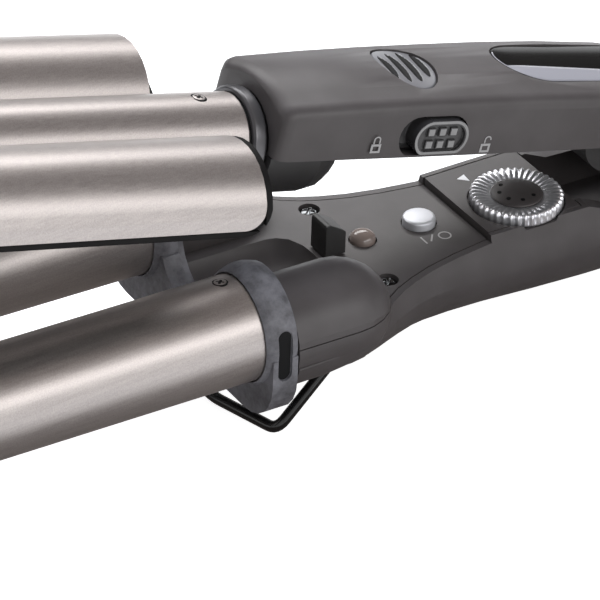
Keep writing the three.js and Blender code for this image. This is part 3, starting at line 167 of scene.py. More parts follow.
def plate(name, outline, thick, corner, across, up, matrix, hole=None):
    """Thin closed plate: corner + a across + b up for each (a, b) of an outline, and of a hole with as many
    points if given, and the same raised by the thickness."""
    corner, across, up = (np.asarray(v, float) for v in (corner, across, up))
    normal = np.cross(across, up)
    loops = [np.asarray(outline, float)] + ([np.asarray(hole, float)] if hole is not None else [])
    flat = [corner + loop[:, :1] * across + loop[:, 1:] * up for loop in loops]
    count = len(flat[0])
    points = np.concatenate([ring + normal * h for ring in flat for h in (0.0, thick)])
    step = [(k, (k + 1) % count) for k in range(count)]
    faces = [(k, n, count + n, count + k) for k, n in step]
    if hole is None:
        faces += [tuple(range(count, 2 * count)), tuple(reversed(range(count)))]
    else:
        faces += [(2 * count + k, 3 * count + k, 3 * count + n, 2 * count + n) for k, n in step]
        faces += [(count + k, count + n, 3 * count + n, 3 * count + k) for k, n in step]
        faces += [(k, 2 * count + k, 2 * count + n, n) for k, n in step]
    return outward(mesh_object(name, points, faces, matrix, smooth=False))


def arc(centre, radius, start, end, steps):
    """Points (x, y) = centre + radius (cos a, sin a) from start to end, in degrees."""
    angles = np.radians(np.linspace(start, end, steps + 1))
    return [(centre[0] + radius * math.cos(a), centre[1] + radius * math.sin(a)) for a in angles]


def tube(name, path, radius, sides, matrix):
    """Round bar along a path: point + radius (cos a side + sin a direction x side), with the side carried
    from point to point without twist."""
    path = np.asarray(path, float)
    along = np.gradient(path, axis=0)
    along /= np.linalg.norm(along, axis=1)[:, None]
    side = np.cross(along[0], (1.0, 0.0, 0.0))
    rings = []
    angle = np.linspace(0, 2 * np.pi, sides, endpoint=False)[:, None]
    for point, direction in zip(path, along):
        side = side - direction * side.dot(direction)
        side /= np.linalg.norm(side)
        rings.append(point + radius * (np.cos(angle) * side + np.sin(angle) * np.cross(direction, side)))
    faces = [tuple(f) for f in grid_faces(len(path), sides, True)]
    faces += [tuple(range(sides)), tuple(range((len(path) - 1) * sides, len(path) * sides))]
    return outward(mesh_object(name, np.concatenate(rings), faces, matrix))


def rounded_path(corners, bend, steps=7):
    """Corner points of a path, each rounded with the curve (1-t)^2 a + 2t(1-t) b + t^2 c."""
    corners = [np.asarray(c, float) for c in corners]
    points = [corners[0]]
    for before, here, after in zip(corners, corners[1:], corners[2:]):
        back = before - here
        on = after - here
        length = min(bend, np.linalg.norm(back) / 2, np.linalg.norm(on) / 2)
        a = here + back / np.linalg.norm(back) * length
        c = here + on / np.linalg.norm(on) * length
        for t in np.linspace(0, 1, steps):
            points.append((1 - t) ** 2 * a + 2 * t * (1 - t) * here + t * t * c)
    return points + [corners[-1]]


# Materials
MOULD_GRAIN = 0.35       # spacing of the eroded grain of the moulds, in millimetres
MOULD_DEPTH = 0.012
COLOUR_PATCH = 9.0       # slow change of colour that moulded plastic has
LARGE_SPOT = 9.0         # worn patches of the collar
SMALL_SPOT = 3.0
WORN_GRAIN = 0.6
WORN_DEPTH = 0.03
SPECK = 0.3              # specks of the metal's coat, drawn coarser than they are so that they show
STREAK = 0.6             # streaks of the brushed tube under the coat
STREAK_STRETCH = 0.05    # share of its frequency that a streak keeps along the tube


def linear(colour):
    """sRGB hex to linear RGBA."""
    parts = [int(colour[i:i + 2], 16) / 255 for i in (1, 3, 5)]
    return tuple(p / 12.92 if p <= 0.04045 else ((p + 0.055) / 1.055) ** 2.4 for p in parts) + (1.0,)


def add(tree, kind, settings=None, links=None, stops=None):
    """Adds a node: settings go to sockets or attributes, links name (socket, other node, its socket), and
    stops are the places and hex colours of a ramp."""
    node = tree.nodes.new(kind)
    for key, value in (settings or {}).items():
        if isinstance(key, int) or key in node.inputs:
            node.inputs[key].default_value = value
        else:
            setattr(node, key, value)
    for socket, other, output in links or []:
        tree.links.new(other.outputs[output], node.inputs[socket])
    for k, (position, colour) in enumerate(stops or []):
        node.color_ramp.elements[k].position = position
        node.color_ramp.elements[k].color = linear(colour)
    return node


def surface(name, colour, rough, metallic=0.0, **more):
    """New material with a principled surface; returns the material, its tree, the shader and coordinates."""
    mat = bpy.data.materials.new(name)
    mat.use_nodes = True
    tree = mat.node_tree
    shader = next(node for node in tree.nodes if node.type == "BSDF_PRINCIPLED")
    shader.inputs["Base Color"].default_value = linear(colour)
    shader.inputs["Roughness"].default_value = rough
    shader.inputs["Metallic"].default_value = metallic
    for key, value in more.items():
        shader.inputs[key.replace("_", " ")].default_value = value
    place = add(tree, "ShaderNodeTexCoord")
    mat.diffuse_color = linear(colour)
    return mat, tree, shader, place


def grain(tree, shader, place, size_mm, depth_mm):
    """Fine surface texture: noise of one size in millimetres, raised by a depth in millimetres."""
    fine = add(tree, "ShaderNodeTexNoise", {"Scale": 1000 / size_mm, "Detail": 2.0},
               [("Vector", place, "Object")])
    bump = add(tree, "ShaderNodeBump", {"Strength": 1.0, "Distance": depth_mm * MM},
               [("Height", fine, "Fac")])
    tree.links.new(bump.outputs["Normal"], shader.inputs["Normal"])


def moulded(name, colour, low, high, rough, **more):
    """Moulded plastic: a slow drift between two near colours, and the eroded grain of the mould."""
    mat, tree, shader, place = surface(name, colour, rough, **more)
    patch = add(tree, "ShaderNodeTexNoise", {"Scale": 1000 / COLOUR_PATCH, "Detail": 3.0},
                [("Vector", place, "Object")])
    drift = add(tree, "ShaderNodeValToRGB", {}, [("Fac", patch, "Fac")], [(0.35, low), (0.65, high)])
    tree.links.new(drift.outputs["Color"], shader.inputs["Base Color"])
    grain(tree, shader, place, MOULD_GRAIN, MOULD_DEPTH)
    return mat


def plain(name, colour, rough, metallic=0.0, size_mm=0.5, depth_mm=0.006, **more):
    """Even finish of one colour with a fine or a slow unevenness in its surface."""
    mat, tree, shader, place = surface(name, colour, rough, metallic, **more)
    grain(tree, shader, place, size_mm, depth_mm)
    return mat


def coated_metal():
    """Titanium-toned satin coat on aluminium tube: specks and, at half their strength, streaks about 12 mm
    long, in its colour and roughness. The eye sees soft bands of light with a faint sparkle."""
    mat, tree, shader, place = surface("titanium_coat_on_aluminium", "#a39c99", 0.38, 0.82)
    speck = add(tree, "ShaderNodeTexNoise", {"Scale": 1000 / SPECK, "Detail": 1.0},
                [("Vector", place, "Object")])
    stretch = add(tree, "ShaderNodeMapping", {"Scale": (STREAK_STRETCH, 1.0, 1.0)},
                  [("Vector", place, "Object")])
    streak = add(tree, "ShaderNodeTexNoise", {"Scale": 1000 / STREAK, "Detail": 1.0},
                 [("Vector", stretch, "Vector")])
    both = add(tree, "ShaderNodeMath", {"operation": "MULTIPLY_ADD", 1: 0.5},
               [(0, streak, "Fac"), (2, speck, "Fac")])
    level = add(tree, "ShaderNodeMapRange", {"From Min": 0.45, "From Max": 1.05}, [("Value", both, 0)])
    tone = add(tree, "ShaderNodeValToRGB", {}, [("Fac", level, "Result")],
               [(0.0, "#989290"), (1.0, "#aea7a4")])
    tree.links.new(tone.outputs["Color"], shader.inputs["Base Color"])
    rough = add(tree, "ShaderNodeMapRange", {"To Min": 0.35, "To Max": 0.44}, [("Value", level, "Result")])
    tree.links.new(rough.outputs["Result"], shader.inputs["Roughness"])
    return mat


def mottled():
    """Moulded glass-filled nylon with a worn skin: two slow noises, added, in its colour, and a coarse
    grain. The eye sees a dull grey piece with cloudy spots."""
    name = "moulded_glass_filled_nylon"
    mat, tree, shader, place = surface(name, "#5c5b5f", 0.55, Specular_IOR_Level=0.35)
    large = add(tree, "ShaderNodeTexNoise", {"Scale": 1000 / LARGE_SPOT, "Detail": 3.0},
                [("Vector", place, "Object")])
    small = add(tree, "ShaderNodeTexNoise", {"Scale": 1000 / SMALL_SPOT, "Detail": 5.0, "Roughness": 0.7},
                [("Vector", place, "Object")])
    both = add(tree, "ShaderNodeMath", {"operation": "ADD"}, [(0, large, "Fac"), (1, small, "Fac")])
    level = add(tree, "ShaderNodeMapRange", {"From Min": 0.75, "From Max": 1.25}, [("Value", both, 0)])
    tone = add(tree, "ShaderNodeValToRGB", {}, [("Fac", level, "Result")],
               [(0.0, "#49484b"), (1.0, "#77767b")])
    tree.links.new(tone.outputs["Color"], shader.inputs["Base Color"])
    grain(tree, shader, place, WORN_GRAIN, WORN_DEPTH)
    return mat


MATERIALS = {
    # Satin ABS of the handle, warm dark grey with a soft sheen
    "handle_plastic": moulded("moulded_abs_dark_grey", "#474343", "#444040", "#4a4646", 0.46,
                              Specular_IOR_Level=0.35),
    # Nearly black ABS of caps, neck and post
    "dark_plastic": moulded("moulded_abs_black_grey", "#2b2a2a", "#292828", "#2e2d2d", 0.45,
                            Specular_IOR_Level=0.35),
    # Dull black nylon that takes the heat inside the shells
    "liner_plastic": moulded("moulded_nylon_black", "#141313", "#121111", "#171616", 0.6,
                             Specular_IOR_Level=0.1),
    # Worn nylon of the collar, cloudy and dull
    "collar_plastic": mottled(),
    # Satin coat of the barrels and shells, with bright and dark bands along them
    "barrel_coating": coated_metal(),
    # Smoked ring with broad soft highlights
    "ring_metal": plain("smoked_polished_ring", "#585759", 0.34, metallic=0.6),
    # Silver paint, bright on the ridges of the dial
    "silver_plastic": plain("silver_painted_abs", "#dddde1", 0.3, metallic=0.8),
    # Black acrylic that shows almost no reflection from above
    "window_gloss": plain("gloss_black_acrylic", "#1a1918", 0.16, size_mm=4.0, depth_mm=0.002,
                          Specular_IOR_Level=0.01),
    # Smoky amber lens with one small sharp highlight
    "lens_amber": plain("smoky_amber_acrylic", "#877a74", 0.12, size_mm=2.0, depth_mm=0.002),
    # Milky plastic of the light under the lens, pale and soft
    "light_white": plain("milky_polycarbonate", "#d8cfc0", 0.4),
    # Zinc plating, bright and even
    "steel": plain("zinc_plated_steel", "#a9abad", 0.3, metallic=1.0),
    # Black lacquer with a thin bright line along the wire
    "wire_black": plain("black_lacquered_wire", "#121212", 0.16, size_mm=2.0, depth_mm=0.004),
    # Fired ceramic, chalky and without shine
    "heater_ceramic": plain("alumina_ceramic", "#cfc8bb", 0.7),
    # Green lacquer of the board with a soft gloss
    "board": plain("green_solder_mask", "#2f6b45", 0.35),
}
# Smoked ABS of the slider, and a paler grey painted on its rim and stud tops as their highlight
SMOKED = plain("smoked_satin_abs", "#343334", 0.25, depth_mm=0.004)
SLIDER_HIGHLIGHT = plain("painted_highlight_grey_abs", "#858484", 0.25, metallic=0.2, depth_mm=0.004)
# Grey rubber of the finger pad, with a sheen on its dished face
RUBBER = plain("satin_grey_rubber", "#646366", 0.3, size_mm=0.4)
# Painted reflection in pale grey on the bevel along the near edge of the window
BEVEL_REFLECTION = plain("painted_bevel_reflection_grey", "#8e8d93", 0.2, size_mm=4.0, depth_mm=0.002)
# Oxide on steel, dark with bright glints on the edges of the cross
OXIDE = plain("black_oxide_steel", "#66686a", 0.24, metallic=1.0, size_mm=0.3, depth_mm=0.004)
# Matt silver paint of the button, evenly bright from above
BUTTON_PAINT = plain("matt_silver_abs", "#cfd0d5", 0.5, metallic=0.5, depth_mm=0.004)
# Flat inks of the pad-printed marks, nearly white and dull grey
PRINT = plain("pad_printed_white_ink", "#e4e4e6", 0.5, size_mm=0.3, depth_mm=0.002)
DULL_PRINT = plain("pad_printed_grey_ink", "#a3a1a1", 0.5, size_mm=0.3, depth_mm=0.002)
# Near black painted shade in deep recesses: the pad's grooves, the collar's slots and the seats of the barrel
# screws; also the dark marks of the dial hub
SHADE_AND_MARK_BLACK = plain("painted_shade_and_mark_black", "#0e0e0f", 0.6, size_mm=0.4, depth_mm=0.003, Specular_IOR_Level=0.15)
OWN_MATERIAL = {
    "lock_slider": SMOKED,
    "power_button": BUTTON_PAINT,
    "near_deck_screw": OXIDE,
    "far_deck_screw": OXIDE,
    "finger_pad": RUBBER,
}


# Dial, in the drawing frame of the lower arm and in millimetres, as are all sizes below
DIAL = (88.5, -5.0)
RIDGES = 40
HUB_RADIUS = 6.28
HUB_EDGE = -1.9
HUB_RISE = 1.05
HUB_FOOT = -2.1
FIRST_MARK, MARK_STEP = 118, 46    # degrees round the hub


def dial_ring():
    """Knurled ring: r = profile - d l g and z = profile - d sqrt(1 - l^2) g, with the depth d and the lean l
    of each row and g = ((1 + cos(40 a)) / 2)^1.2. Rounded ridges run up the wall and over the slope."""
    profile = [(3.2, -4.68), (10.7, -4.68), (11.1, -4.3), (11.2, -3.9), (11.2, -2.6), (11.18, -2.1),
               (11.0, -1.65), (10.65, -1.35), (10.2, -1.22), (9.4, -1.32), (8.5, -1.52), (7.8, -1.74),
               (7.3, -1.95), (6.75, -2.1), (6.5, -2.2), (3.2, -2.2)]
    depth = np.array([0, 0, .35, .6, .6, .6, .6, .55, .46, .38, .3, .2, .1, 0, 0, 0])
    lean = np.array([1, 1, 1, 1, 1, .95, .75, .45, .15, 0, 0, 0, 0, 0, 0, 0])

    def wave(row, angle):
        """How far a groove takes the profile inwards and down."""
        groove = ((1 + np.cos(RIDGES * angle)) / 2) ** 1.2
        return depth[row] * lean[row] * groove, depth[row] * np.sqrt(1 - lean[row] ** 2) * groove

    return turned_surface("dial_ring_finished", profile, DIAL, RIDGES * 10, LOWER, wave)


def dial_hub():
    """Dome on a quarter ellipse, r = R sin(t) and z = edge + rise cos(t), closed below by a flat foot."""
    turns = np.linspace(0, 1, 10) * math.pi / 2
    dome = [(HUB_RADIUS * math.sin(t), HUB_EDGE + HUB_RISE * math.cos(t)) for t in turns]
    profile = [(0, dome[0][1])] + dome[1:] + [(HUB_RADIUS, HUB_FOOT), (0, HUB_FOOT)]
    return turned_surface("dial_hub_finished", profile, DIAL, 64, LOWER)


def hub_marks():
    """Five small round marks on the dome, 4.3 mm from its middle."""
    distance, radius, foot, thick = 4.3, 0.5, -1.25, 0.23
    for k in range(5):
        angle = math.radians(FIRST_MARK + MARK_STEP * k)
        spot = (DIAL[0] + distance * math.cos(angle), DIAL[1] + distance * math.sin(angle))
        outline = arc(spot, radius, 0, 340, 17)
        mark = plate(f"hub_mark_{k + 1}", outline, thick, (0, 0, foot), AXIS_X, AXIS_Y, LOWER)
        finished(mark, "dial_hub", SHADE_AND_MARK_BLACK)


# Wire stand
STAND_PIVOT = (26.2, -16.6)    # x and z of its turned-in ends
STAND_HALF = 25.0              # half its width
STAND_REACH = 14.8             # how far the legs lean forward
STAND_DROP = 15.0              # and down
STAND_BOW = 4.7                # how far the middle of the V hangs past the legs
STAND_FLAT = 2.5               # half the flat middle
STAND_INWARD = 8.0             # length of the turned-in ends
STAND_BEND = 3.0
STAND_WIRE = 1.38              # radius of the wire


def wire_stand():
    """Wire, a circle carried along straight stretches with rounded bends: a wide V on two legs whose ends
    turn in at the pivots."""
    x, z = STAND_PIVOT
    tilt = math.atan2(STAND_REACH, STAND_DROP)
    corner = (x - STAND_REACH, z - STAND_DROP)
    low = (corner[0] - STAND_BOW * math.sin(tilt), corner[1] - STAND_BOW * math.cos(tilt))
    half = [(x, STAND_HALF - STAND_INWARD, z), (x, STAND_HALF, z), (corner[0], STAND_HALF, corner[1]),
            (low[0], STAND_FLAT, low[1])]
    other = [(a, -b, c) for a, b, c in reversed(half)]
    return tube("wire_stand_finished", rounded_path(half + other, STAND_BEND), STAND_WIRE, 20, LOWER)


# Printed marks
DECK_Z = -5.65            # top of the deck
PANEL_Z = -3.8            # top of the raised panel under the dial
HANDLE_SIDE = -15.93      # near wall of the upper handle
INK = 0.03                # thickness of the small marks
THICK_INK = 0.04
POINTER = [(81.25, 9.5), (83.5, 7.4), (83.8, 10.5)]
ON_AT, DASH_AT, OFF_AT = (61.35, -7.2), (63.6, -7.1), (66.85, -7.6)
DASH_TURN = -37
STROKE_HALF = (0.2, 1.5)
RING_OUTER, RING_INNER = 1.62, 1.26
SHUT_PADLOCK_AT, OPEN_PADLOCK_AT = (35.8, 6.6), (66.9, 5.4)


def box_outline(left, right, low, high):
    """Corners of a box on a plane, in order."""
    return [(left, low), (right, low), (right, high), (left, high)]


def switch_marks():
    """I/O beside the button: two strokes, the second one leaning, and a ring."""
    stroke = box_outline(-STROKE_HALF[0], STROKE_HALF[0], -STROKE_HALF[1], STROKE_HALF[1])
    deck = (0, 0, DECK_Z)
    for name, centre, turn in (("on_mark", ON_AT, 0), ("dash_mark", DASH_AT, DASH_TURN)):
        c = math.cos(math.radians(turn))
        s = math.sin(math.radians(turn))
        outline = [(centre[0] + a * c - b * s, centre[1] + a * s + b * c) for a, b in stroke]
        finished(plate(name, outline, INK, deck, AXIS_X, AXIS_Y, LOWER), "deck_cover", DULL_PRINT)
    outer, inner = (arc(OFF_AT, radius, 0, 352, 43) for radius in (RING_OUTER, RING_INNER))
    ring = plate("off_mark", outer, INK, deck, AXIS_X, AXIS_Y, LOWER, hole=inner)
    finished(ring, "deck_cover", DULL_PRINT)


def padlock(name, at, shut):
    """Padlock sign: a frame for its body and a half ring over it, which stands open to one side if not
    shut."""
    place = (at[0], HANDLE_SIDE, at[1])
    body = plate(name + "_body", box_outline(-1.35, 1.35, -1.2, 1.0), THICK_INK, place, AXIS_X, AXIS_Z,
                 UPPER, hole=box_outline(-0.8, 0.8, -0.7, 0.45))
    finished(body, "upper_cover", DULL_PRINT)
    wide, narrow, top, foot = 0.95, 0.62, 2.0, 1.1
    shift = 0.0 if shut else 0.35
    end = foot if shut else top - 0.1
    outer = arc((shift, top), wide, 0, 180, 12) + [(shift - wide, foot)]
    inner = arc((shift, top), narrow, 180, 0, 12) + [(shift + narrow, end)]
    outline = [(shift + wide, end)] + outer + [(shift - narrow, foot)] + inner
    shackle = plate(name + "_shackle", outline, THICK_INK, place, AXIS_X, AXIS_Z, UPPER)
    finished(shackle, "upper_cover", DULL_PRINT)


def marks():
    """Pointer beside the dial, I/O beside the button and the two padlocks beside the lock."""
    pointer = plate("pointer_mark", POINTER, THICK_INK, (0, 0, PANEL_Z), AXIS_X, AXIS_Y, LOWER)
    finished(pointer, "dial_panel", PRINT)
    switch_marks()
    padlock("shut_padlock", SHUT_PADLOCK_AT, True)
    padlock("open_padlock", OPEN_PADLOCK_AT, False)


# Finger pad and window on the crowned top of the upper handle
CROWN = 2.2               # rise of the top over its flat width
FLAT_HALF = 12.7
TOP = [(12, 16.4), (30, 17.1), (47, 17.4), (81, 17.6), (116, 16.6), (144.5, 13.5)]
PAD_X = 50.6
PAD_HALF_X, PAD_HALF_Y = 6.55, 9.95
PAD_SUNK = 0.32
PAD_DISH = 0.25
PAD_THICK = 0.5
PAD_ROLL = 0.3            # drop of its rounded edge
GROOVES = (-4.5, -1.5, 1.5, 4.5)
GROOVE_REACH, GROOVE_SPAN = 7.2, 6.9    # half length of the middle grooves, and where a groove has none
GROOVE_HALF = 1.1
GROOVE_LEAN = 0.14
GROOVE_DEPTH = 0.4
GROOVE_SHADE_DEPTH = 0.06                      # depth past which a groove is painted with shade
WINDOW_MIDDLE = 102.0
WINDOW_STRAIGHT = 13.5                  # half its straight sides
WINDOW_END, WINDOW_HALF = 11.85, 9.65   # length of its rounded ends, and half its width
WINDOW_SUNK = 0.2
BORDER_END, BORDER_HALF = 11.4, 9.2     # the same of the bevel's outline
BORDER_LINE = 0.35
BORDER_RAISED = 0.04
BORDER_THICK = 0.06
CREASE_Y, CREASE_SLOPE = -3.8, -0.08


def handle_top(x, y):
    """Crowned top of the upper handle: z = top(x) + C (1 - (y / b)^2)."""
    return np.interp(x, *zip(*TOP)) + CROWN * (1 - (y / FLAT_HALF) ** 2)


def groove_depth(dx, dy):
    """Depth of the grooves, each an almond D max(0, 1 - (across / w)^2) that leans by 0.14 y, with its half
    width w = 1.1 sqrt(1 - (y / reach)^2)."""
    depth = 0 * (dx + dy)
    for middle in GROOVES:
        reach = GROOVE_REACH * math.sqrt(1 - (middle / GROOVE_SPAN) ** 2)
        half = GROOVE_HALF * np.sqrt(np.maximum(1 - (dy / reach) ** 2, 1e-4))
        across = dx - middle - GROOVE_LEAN * dy
        depth = depth + GROOVE_DEPTH * np.maximum(0, 1 - (across / half) ** 2) * (abs(dy) < reach)
    return depth


def finger_pad():
    """Dished pad on an ellipse: z = top - sunk - dish (1 - r^2) - grooves - roll ((r - 0.95) / 0.05)^2 past
    r = 0.95, with a wall and a flat underside."""
    rows, columns = 46, 180
    r = np.linspace(0, 1, rows)[:, None] ** 0.8
    a = np.linspace(0, 2 * np.pi, columns, endpoint=False)[None, :]
    dx = PAD_HALF_X * r * np.cos(a)
    dy = PAD_HALF_Y * r * np.sin(a)
    groove = groove_depth(dx, dy)
    z = handle_top(PAD_X + dx, dy) - PAD_SUNK - PAD_DISH * (1 - r ** 2)
    z = z - groove - PAD_ROLL * np.maximum(0, (r - 0.95) / 0.05) ** 2
    points = np.stack([PAD_X + dx, dy, z], -1).reshape(-1, 3)
    edge = points[-columns:]
    under = [edge - (0, 0, PAD_THICK), edge * 0 + (PAD_X, 0, edge[:, 2].min() - PAD_THICK)]
    pad = mesh_object("finger_pad_finished", np.concatenate([points, *under]),
                      grid_faces(rows + 2, columns, True), UPPER)
    # Faces deep in the grooves take a second material, painted shade.
    pad.data.materials.append(RUBBER)
    pad.data.materials.append(SHADE_AND_MARK_BLACK)
    painted_shade_faces = np.zeros((rows + 1, columns), int)
    painted_shade_faces[:rows - 1] = (groove[:-1] + groove[1:]) / 2 > GROOVE_SHADE_DEPTH
    pad.data.polygons.foreach_set("material_index", painted_shade_faces.reshape(-1))
    return outward(pad)


def label_window():
    """Crowned window, r from 0 in the middle to 1 on an outline of two straight sides with elliptic ends:
    x = xm + r (s sign(cos a) + e cos a), y = h r sin a, z = top - sunk, its edge rolled off and walled."""
    flat_rows, columns = 18, 144
    r = np.concatenate([np.linspace(0, 0.96, flat_rows), [0.98, 0.99, 1.0, 1.0, 0.0]])[:, None]
    drop = np.concatenate([np.zeros(flat_rows), [0.01, 0.04, 0.14, 0.9, 0.9]])[:, None]
    a = (np.arange(columns) + 0.5)[None, :] * 2 * np.pi / columns
    x = WINDOW_MIDDLE + r * (WINDOW_STRAIGHT * np.sign(np.cos(a)) + WINDOW_END * np.cos(a))
    y = WINDOW_HALF * r * np.sin(a)
    z = handle_top(x, y) - WINDOW_SUNK - drop
    points = np.stack([x, y, z], -1).reshape(-1, 3)
    return outward(mesh_object("label_window_finished", points, grid_faces(len(r), columns, True), UPPER))


def strip_faces(rows, columns):
    """Faces of a closed strip: its top grid, the same grid below it turned over, and walls round the rim."""
    quads = grid_faces(rows, columns, False)
    count = rows * columns
    rim = [r * columns for r in range(rows)]
    rim += [(rows - 1) * columns + c for c in range(1, columns)]
    rim += [r * columns + columns - 1 for r in range(rows - 2, -1, -1)]
    rim += list(range(columns - 2, 0, -1))
    walls = [(a, b, b + count, a + count) for a, b in zip(rim, rim[1:] + rim[:1])]
    return [tuple(q) for q in quads] + [tuple(q[::-1] + count) for q in quads] + walls


def window_bevel_reflection():
    """Painted reflection in grey on the bevel along the near edge of the window: from the window's outline, a
    straight side with elliptic ends, to a line 0.35 mm inside it or to the crease y = c - 0.08 (x - xf),
    whichever lies further in."""
    steps, across = 91, 8
    turn_share, end_angle = 0.4, 120
    front_x = WINDOW_MIDDLE - WINDOW_STRAIGHT
    t = np.linspace(0, 1, steps)[:, None]
    s = np.linspace(0, 1, across)[None, :]
    front = np.clip(150 + end_angle * t / turn_share, 150, 270)
    rear = np.clip(end_angle * (t - 1 + turn_share) / turn_share, 0, end_angle)
    angle = np.radians(front + rear)
    straight = np.clip((t - turn_share) / (1 - 2 * turn_share), 0, 1) * 2 * WINDOW_STRAIGHT
    outer_x = front_x + BORDER_END * np.cos(angle) + straight
    outer_y = BORDER_HALF * np.sin(angle)
    widening = np.maximum(0, CREASE_Y + CREASE_SLOPE * (outer_x - front_x) - outer_y)
    x = outer_x - BORDER_LINE * s * np.cos(angle)
    y = outer_y - BORDER_LINE * s * np.sin(angle) + s * widening
    z = handle_top(x, y) - WINDOW_SUNK + BORDER_RAISED
    top = np.stack([x, y, z], -1).reshape(-1, 3)
    points = np.concatenate([top, top - (0, 0, BORDER_THICK)])
    border = mesh_object("window_bevel_reflection", points, strip_faces(steps, across), UPPER)
    finished(outward(border), "label_window", BEVEL_REFLECTION)


# Slider of the lock
SLIDER = (53.1, 8.7)          # x and z of its middle
SLIDER_FACE = -16.9
SLIDER_STRAIGHT = 3.0         # half its straight sides
STUD_PITCH = (3.1, 1.55)
STUD_HALF = 0.8
STUD_HEIGHT = 0.2
RIM_OUTER, RIM_INNER = (4.4, 4.85), (3.75, 5.5)    # half the width of the rim's edges, and their flat foot


def slider_outline(half, low):
    """Side of the slider with round ends, cut off flat below."""
    x, z = SLIDER
    points = arc((x + SLIDER_STRAIGHT, z), half, -90, 90, 16)
    points += arc((x - SLIDER_STRAIGHT, z), half, 90, 270, 16)
    return [(a, max(b, low)) for a, b in points]


def slider_trim():
    """Painted highlight on the slider, a paler grey: its rim, and the tops of its six studs."""
    rim = plate("slider_rim", slider_outline(*RIM_OUTER), INK, (0, SLIDER_FACE, 0), AXIS_X, AXIS_Z, UPPER,
                hole=slider_outline(*RIM_INNER))
    finished(rim, "lock_slider", SLIDER_HIGHLIGHT)
    for column in (-1, 0, 1):
        for row in (-1, 1):
            x = SLIDER[0] + column * STUD_PITCH[0]
            z = SLIDER[1] + row * STUD_PITCH[1]
            outline = box_outline(x - STUD_HALF, x + STUD_HALF, z - STUD_HALF, z + STUD_HALF)
            stud = plate(f"stud_top_{column + 2}_{row + 2}", outline, INK, (0, SLIDER_FACE + STUD_HEIGHT, 0),
                         AXIS_X, AXIS_Z, UPPER)
            finished(stud, "lock_slider", SLIDER_HIGHLIGHT)


# Liner of the far shell
LINER_END = -8.3             # where the shell's end hides it
LINER_FOOT = 2.2             # how far its lowest part reaches past that
LINER_LOW, LINER_FADE = 9.5, 3.0


def trim_liner(obj):
    """Draws the end of a liner back under its shell, but for the lowest part, where it shows."""
    points = np.empty(len(obj.data.vertices) * 3, np.float32)
    obj.data.vertices.foreach_get("co", points)
    to_arm = np.array(UPPER.inverted())
    to_scene = np.array(UPPER)
    arm = points.reshape(-1, 3) @ to_arm[:3, :3].T + to_arm[:3, 3]
    low = np.clip((LINER_LOW - arm[:, 2]) / LINER_FADE, 0, 1)
    arm[:, 0] = np.minimum(arm[:, 0], LINER_END + LINER_FOOT * low)
    placed = arm @ to_scene[:3, :3].T + to_scene[:3, 3]
    obj.data.vertices.foreach_set("co", placed.reshape(-1))
    obj.data.update()


# Screws and the slots of the collar
BARREL_SPREAD = 25.0
BARREL_RADIUS = 12.5
MIDDLE_RADIUS = 10.4
MIDDLE_AXIS_Z = 2.6
BARREL_SCREW_X = -3.8
BARREL_SCREW_TURN = 6.5       # degrees that the screws of the lower barrels lean outwards
DECK_SCREW_X, DECK_SCREW_Y = 45.0, 17.3
DECK_SCREW_SUNK = 0.7
SLOT_X, SLOT_Z, SLOT_HALF_X, SLOT_HALF_Z = 4.4, -1.2, 1.6, 6.3
SLOT_WALL = 0.3 + 0.4         # fit of the barrel in the collar, and the wall left behind the slot
SLOT_FLOOR = 0.12
SEAT_PROUD, HEAD_PROUD = 0.02, 0.04
CROSS_REACH, CROSS_FADE = 0.68, 0.2    # shares of the head's radius
CROSS_STEEP = 2.2                      # how fast the walls of the cross fall


def head_surface(name, matrix, centre, normal, radius, rise, slot, width, rim):
    """Screw head with a cross recess, closed below by a flat:
    h(r, a) = rise (1 - (r / R)^2) - slot inside the cross - rim (r / R)^8."""
    normal = Vector(normal).normalized()
    side = normal.orthogonal().normalized()
    other = normal.cross(side)
    rows, columns = 22, 72
    r = np.linspace(0, radius, rows)[:, None]
    a = np.linspace(0, 2 * np.pi, columns, endpoint=False)[None, :]
    x = r * np.cos(a)
    y = r * np.sin(a)
    arm = CROSS_REACH * radius
    inside = np.maximum(width / 2 - np.minimum(abs(x), abs(y)), 0) / (width / 2)
    reach = np.clip((arm - r) / (CROSS_FADE * radius), 0, 1)
    cross = slot * np.clip(CROSS_STEEP * inside, 0, 1) * reach
    h = rise * (1 - (r / radius) ** 2) - cross - rim * (r / radius) ** 8
    under = h[-1:].min() - 0.05
    x, y = (np.concatenate([v, v[-1:], v[:1]]) for v in (x, y))
    h = np.concatenate([h, 0 * h[:2] + under])
    points = (np.asarray(centre, float) + x[..., None] * np.array(side) + y[..., None] * np.array(other)
              + h[..., None] * np.array(normal)).reshape(-1, 3)
    return outward(mesh_object(name, points, grid_faces(rows + 2, columns, True), matrix))


def barrel_screw(name, matrix, axis, radius, turn, node):
    """Flush screw in a barrel, turned about the barrel's axis: a seat painted with shade for the gap round
    the head, and the coated head on it.
    """
    angle = math.radians(turn)
    normal = (0, math.sin(angle), math.cos(angle))
    out = radius + SEAT_PROUD
    base = [axis[0], axis[1] + out * normal[1], axis[2] + out * normal[2]]
    lifted = [b + HEAD_PROUD * n for b, n in zip(base, normal)]
    # The seat is painted shade, standing for the gap round the head.
    seat = head_surface(name + "_seat", matrix, base, normal, radius=2.0, rise=0.02, slot=0, width=0.5,
                        rim=0.2)
    finished(seat, node, SHADE_AND_MARK_BLACK)
    head = head_surface(name, matrix, lifted, normal, radius=1.55, rise=0.1, slot=0.5, width=0.7, rim=0.1)
    finished(head, node, MATERIALS["barrel_coating"])


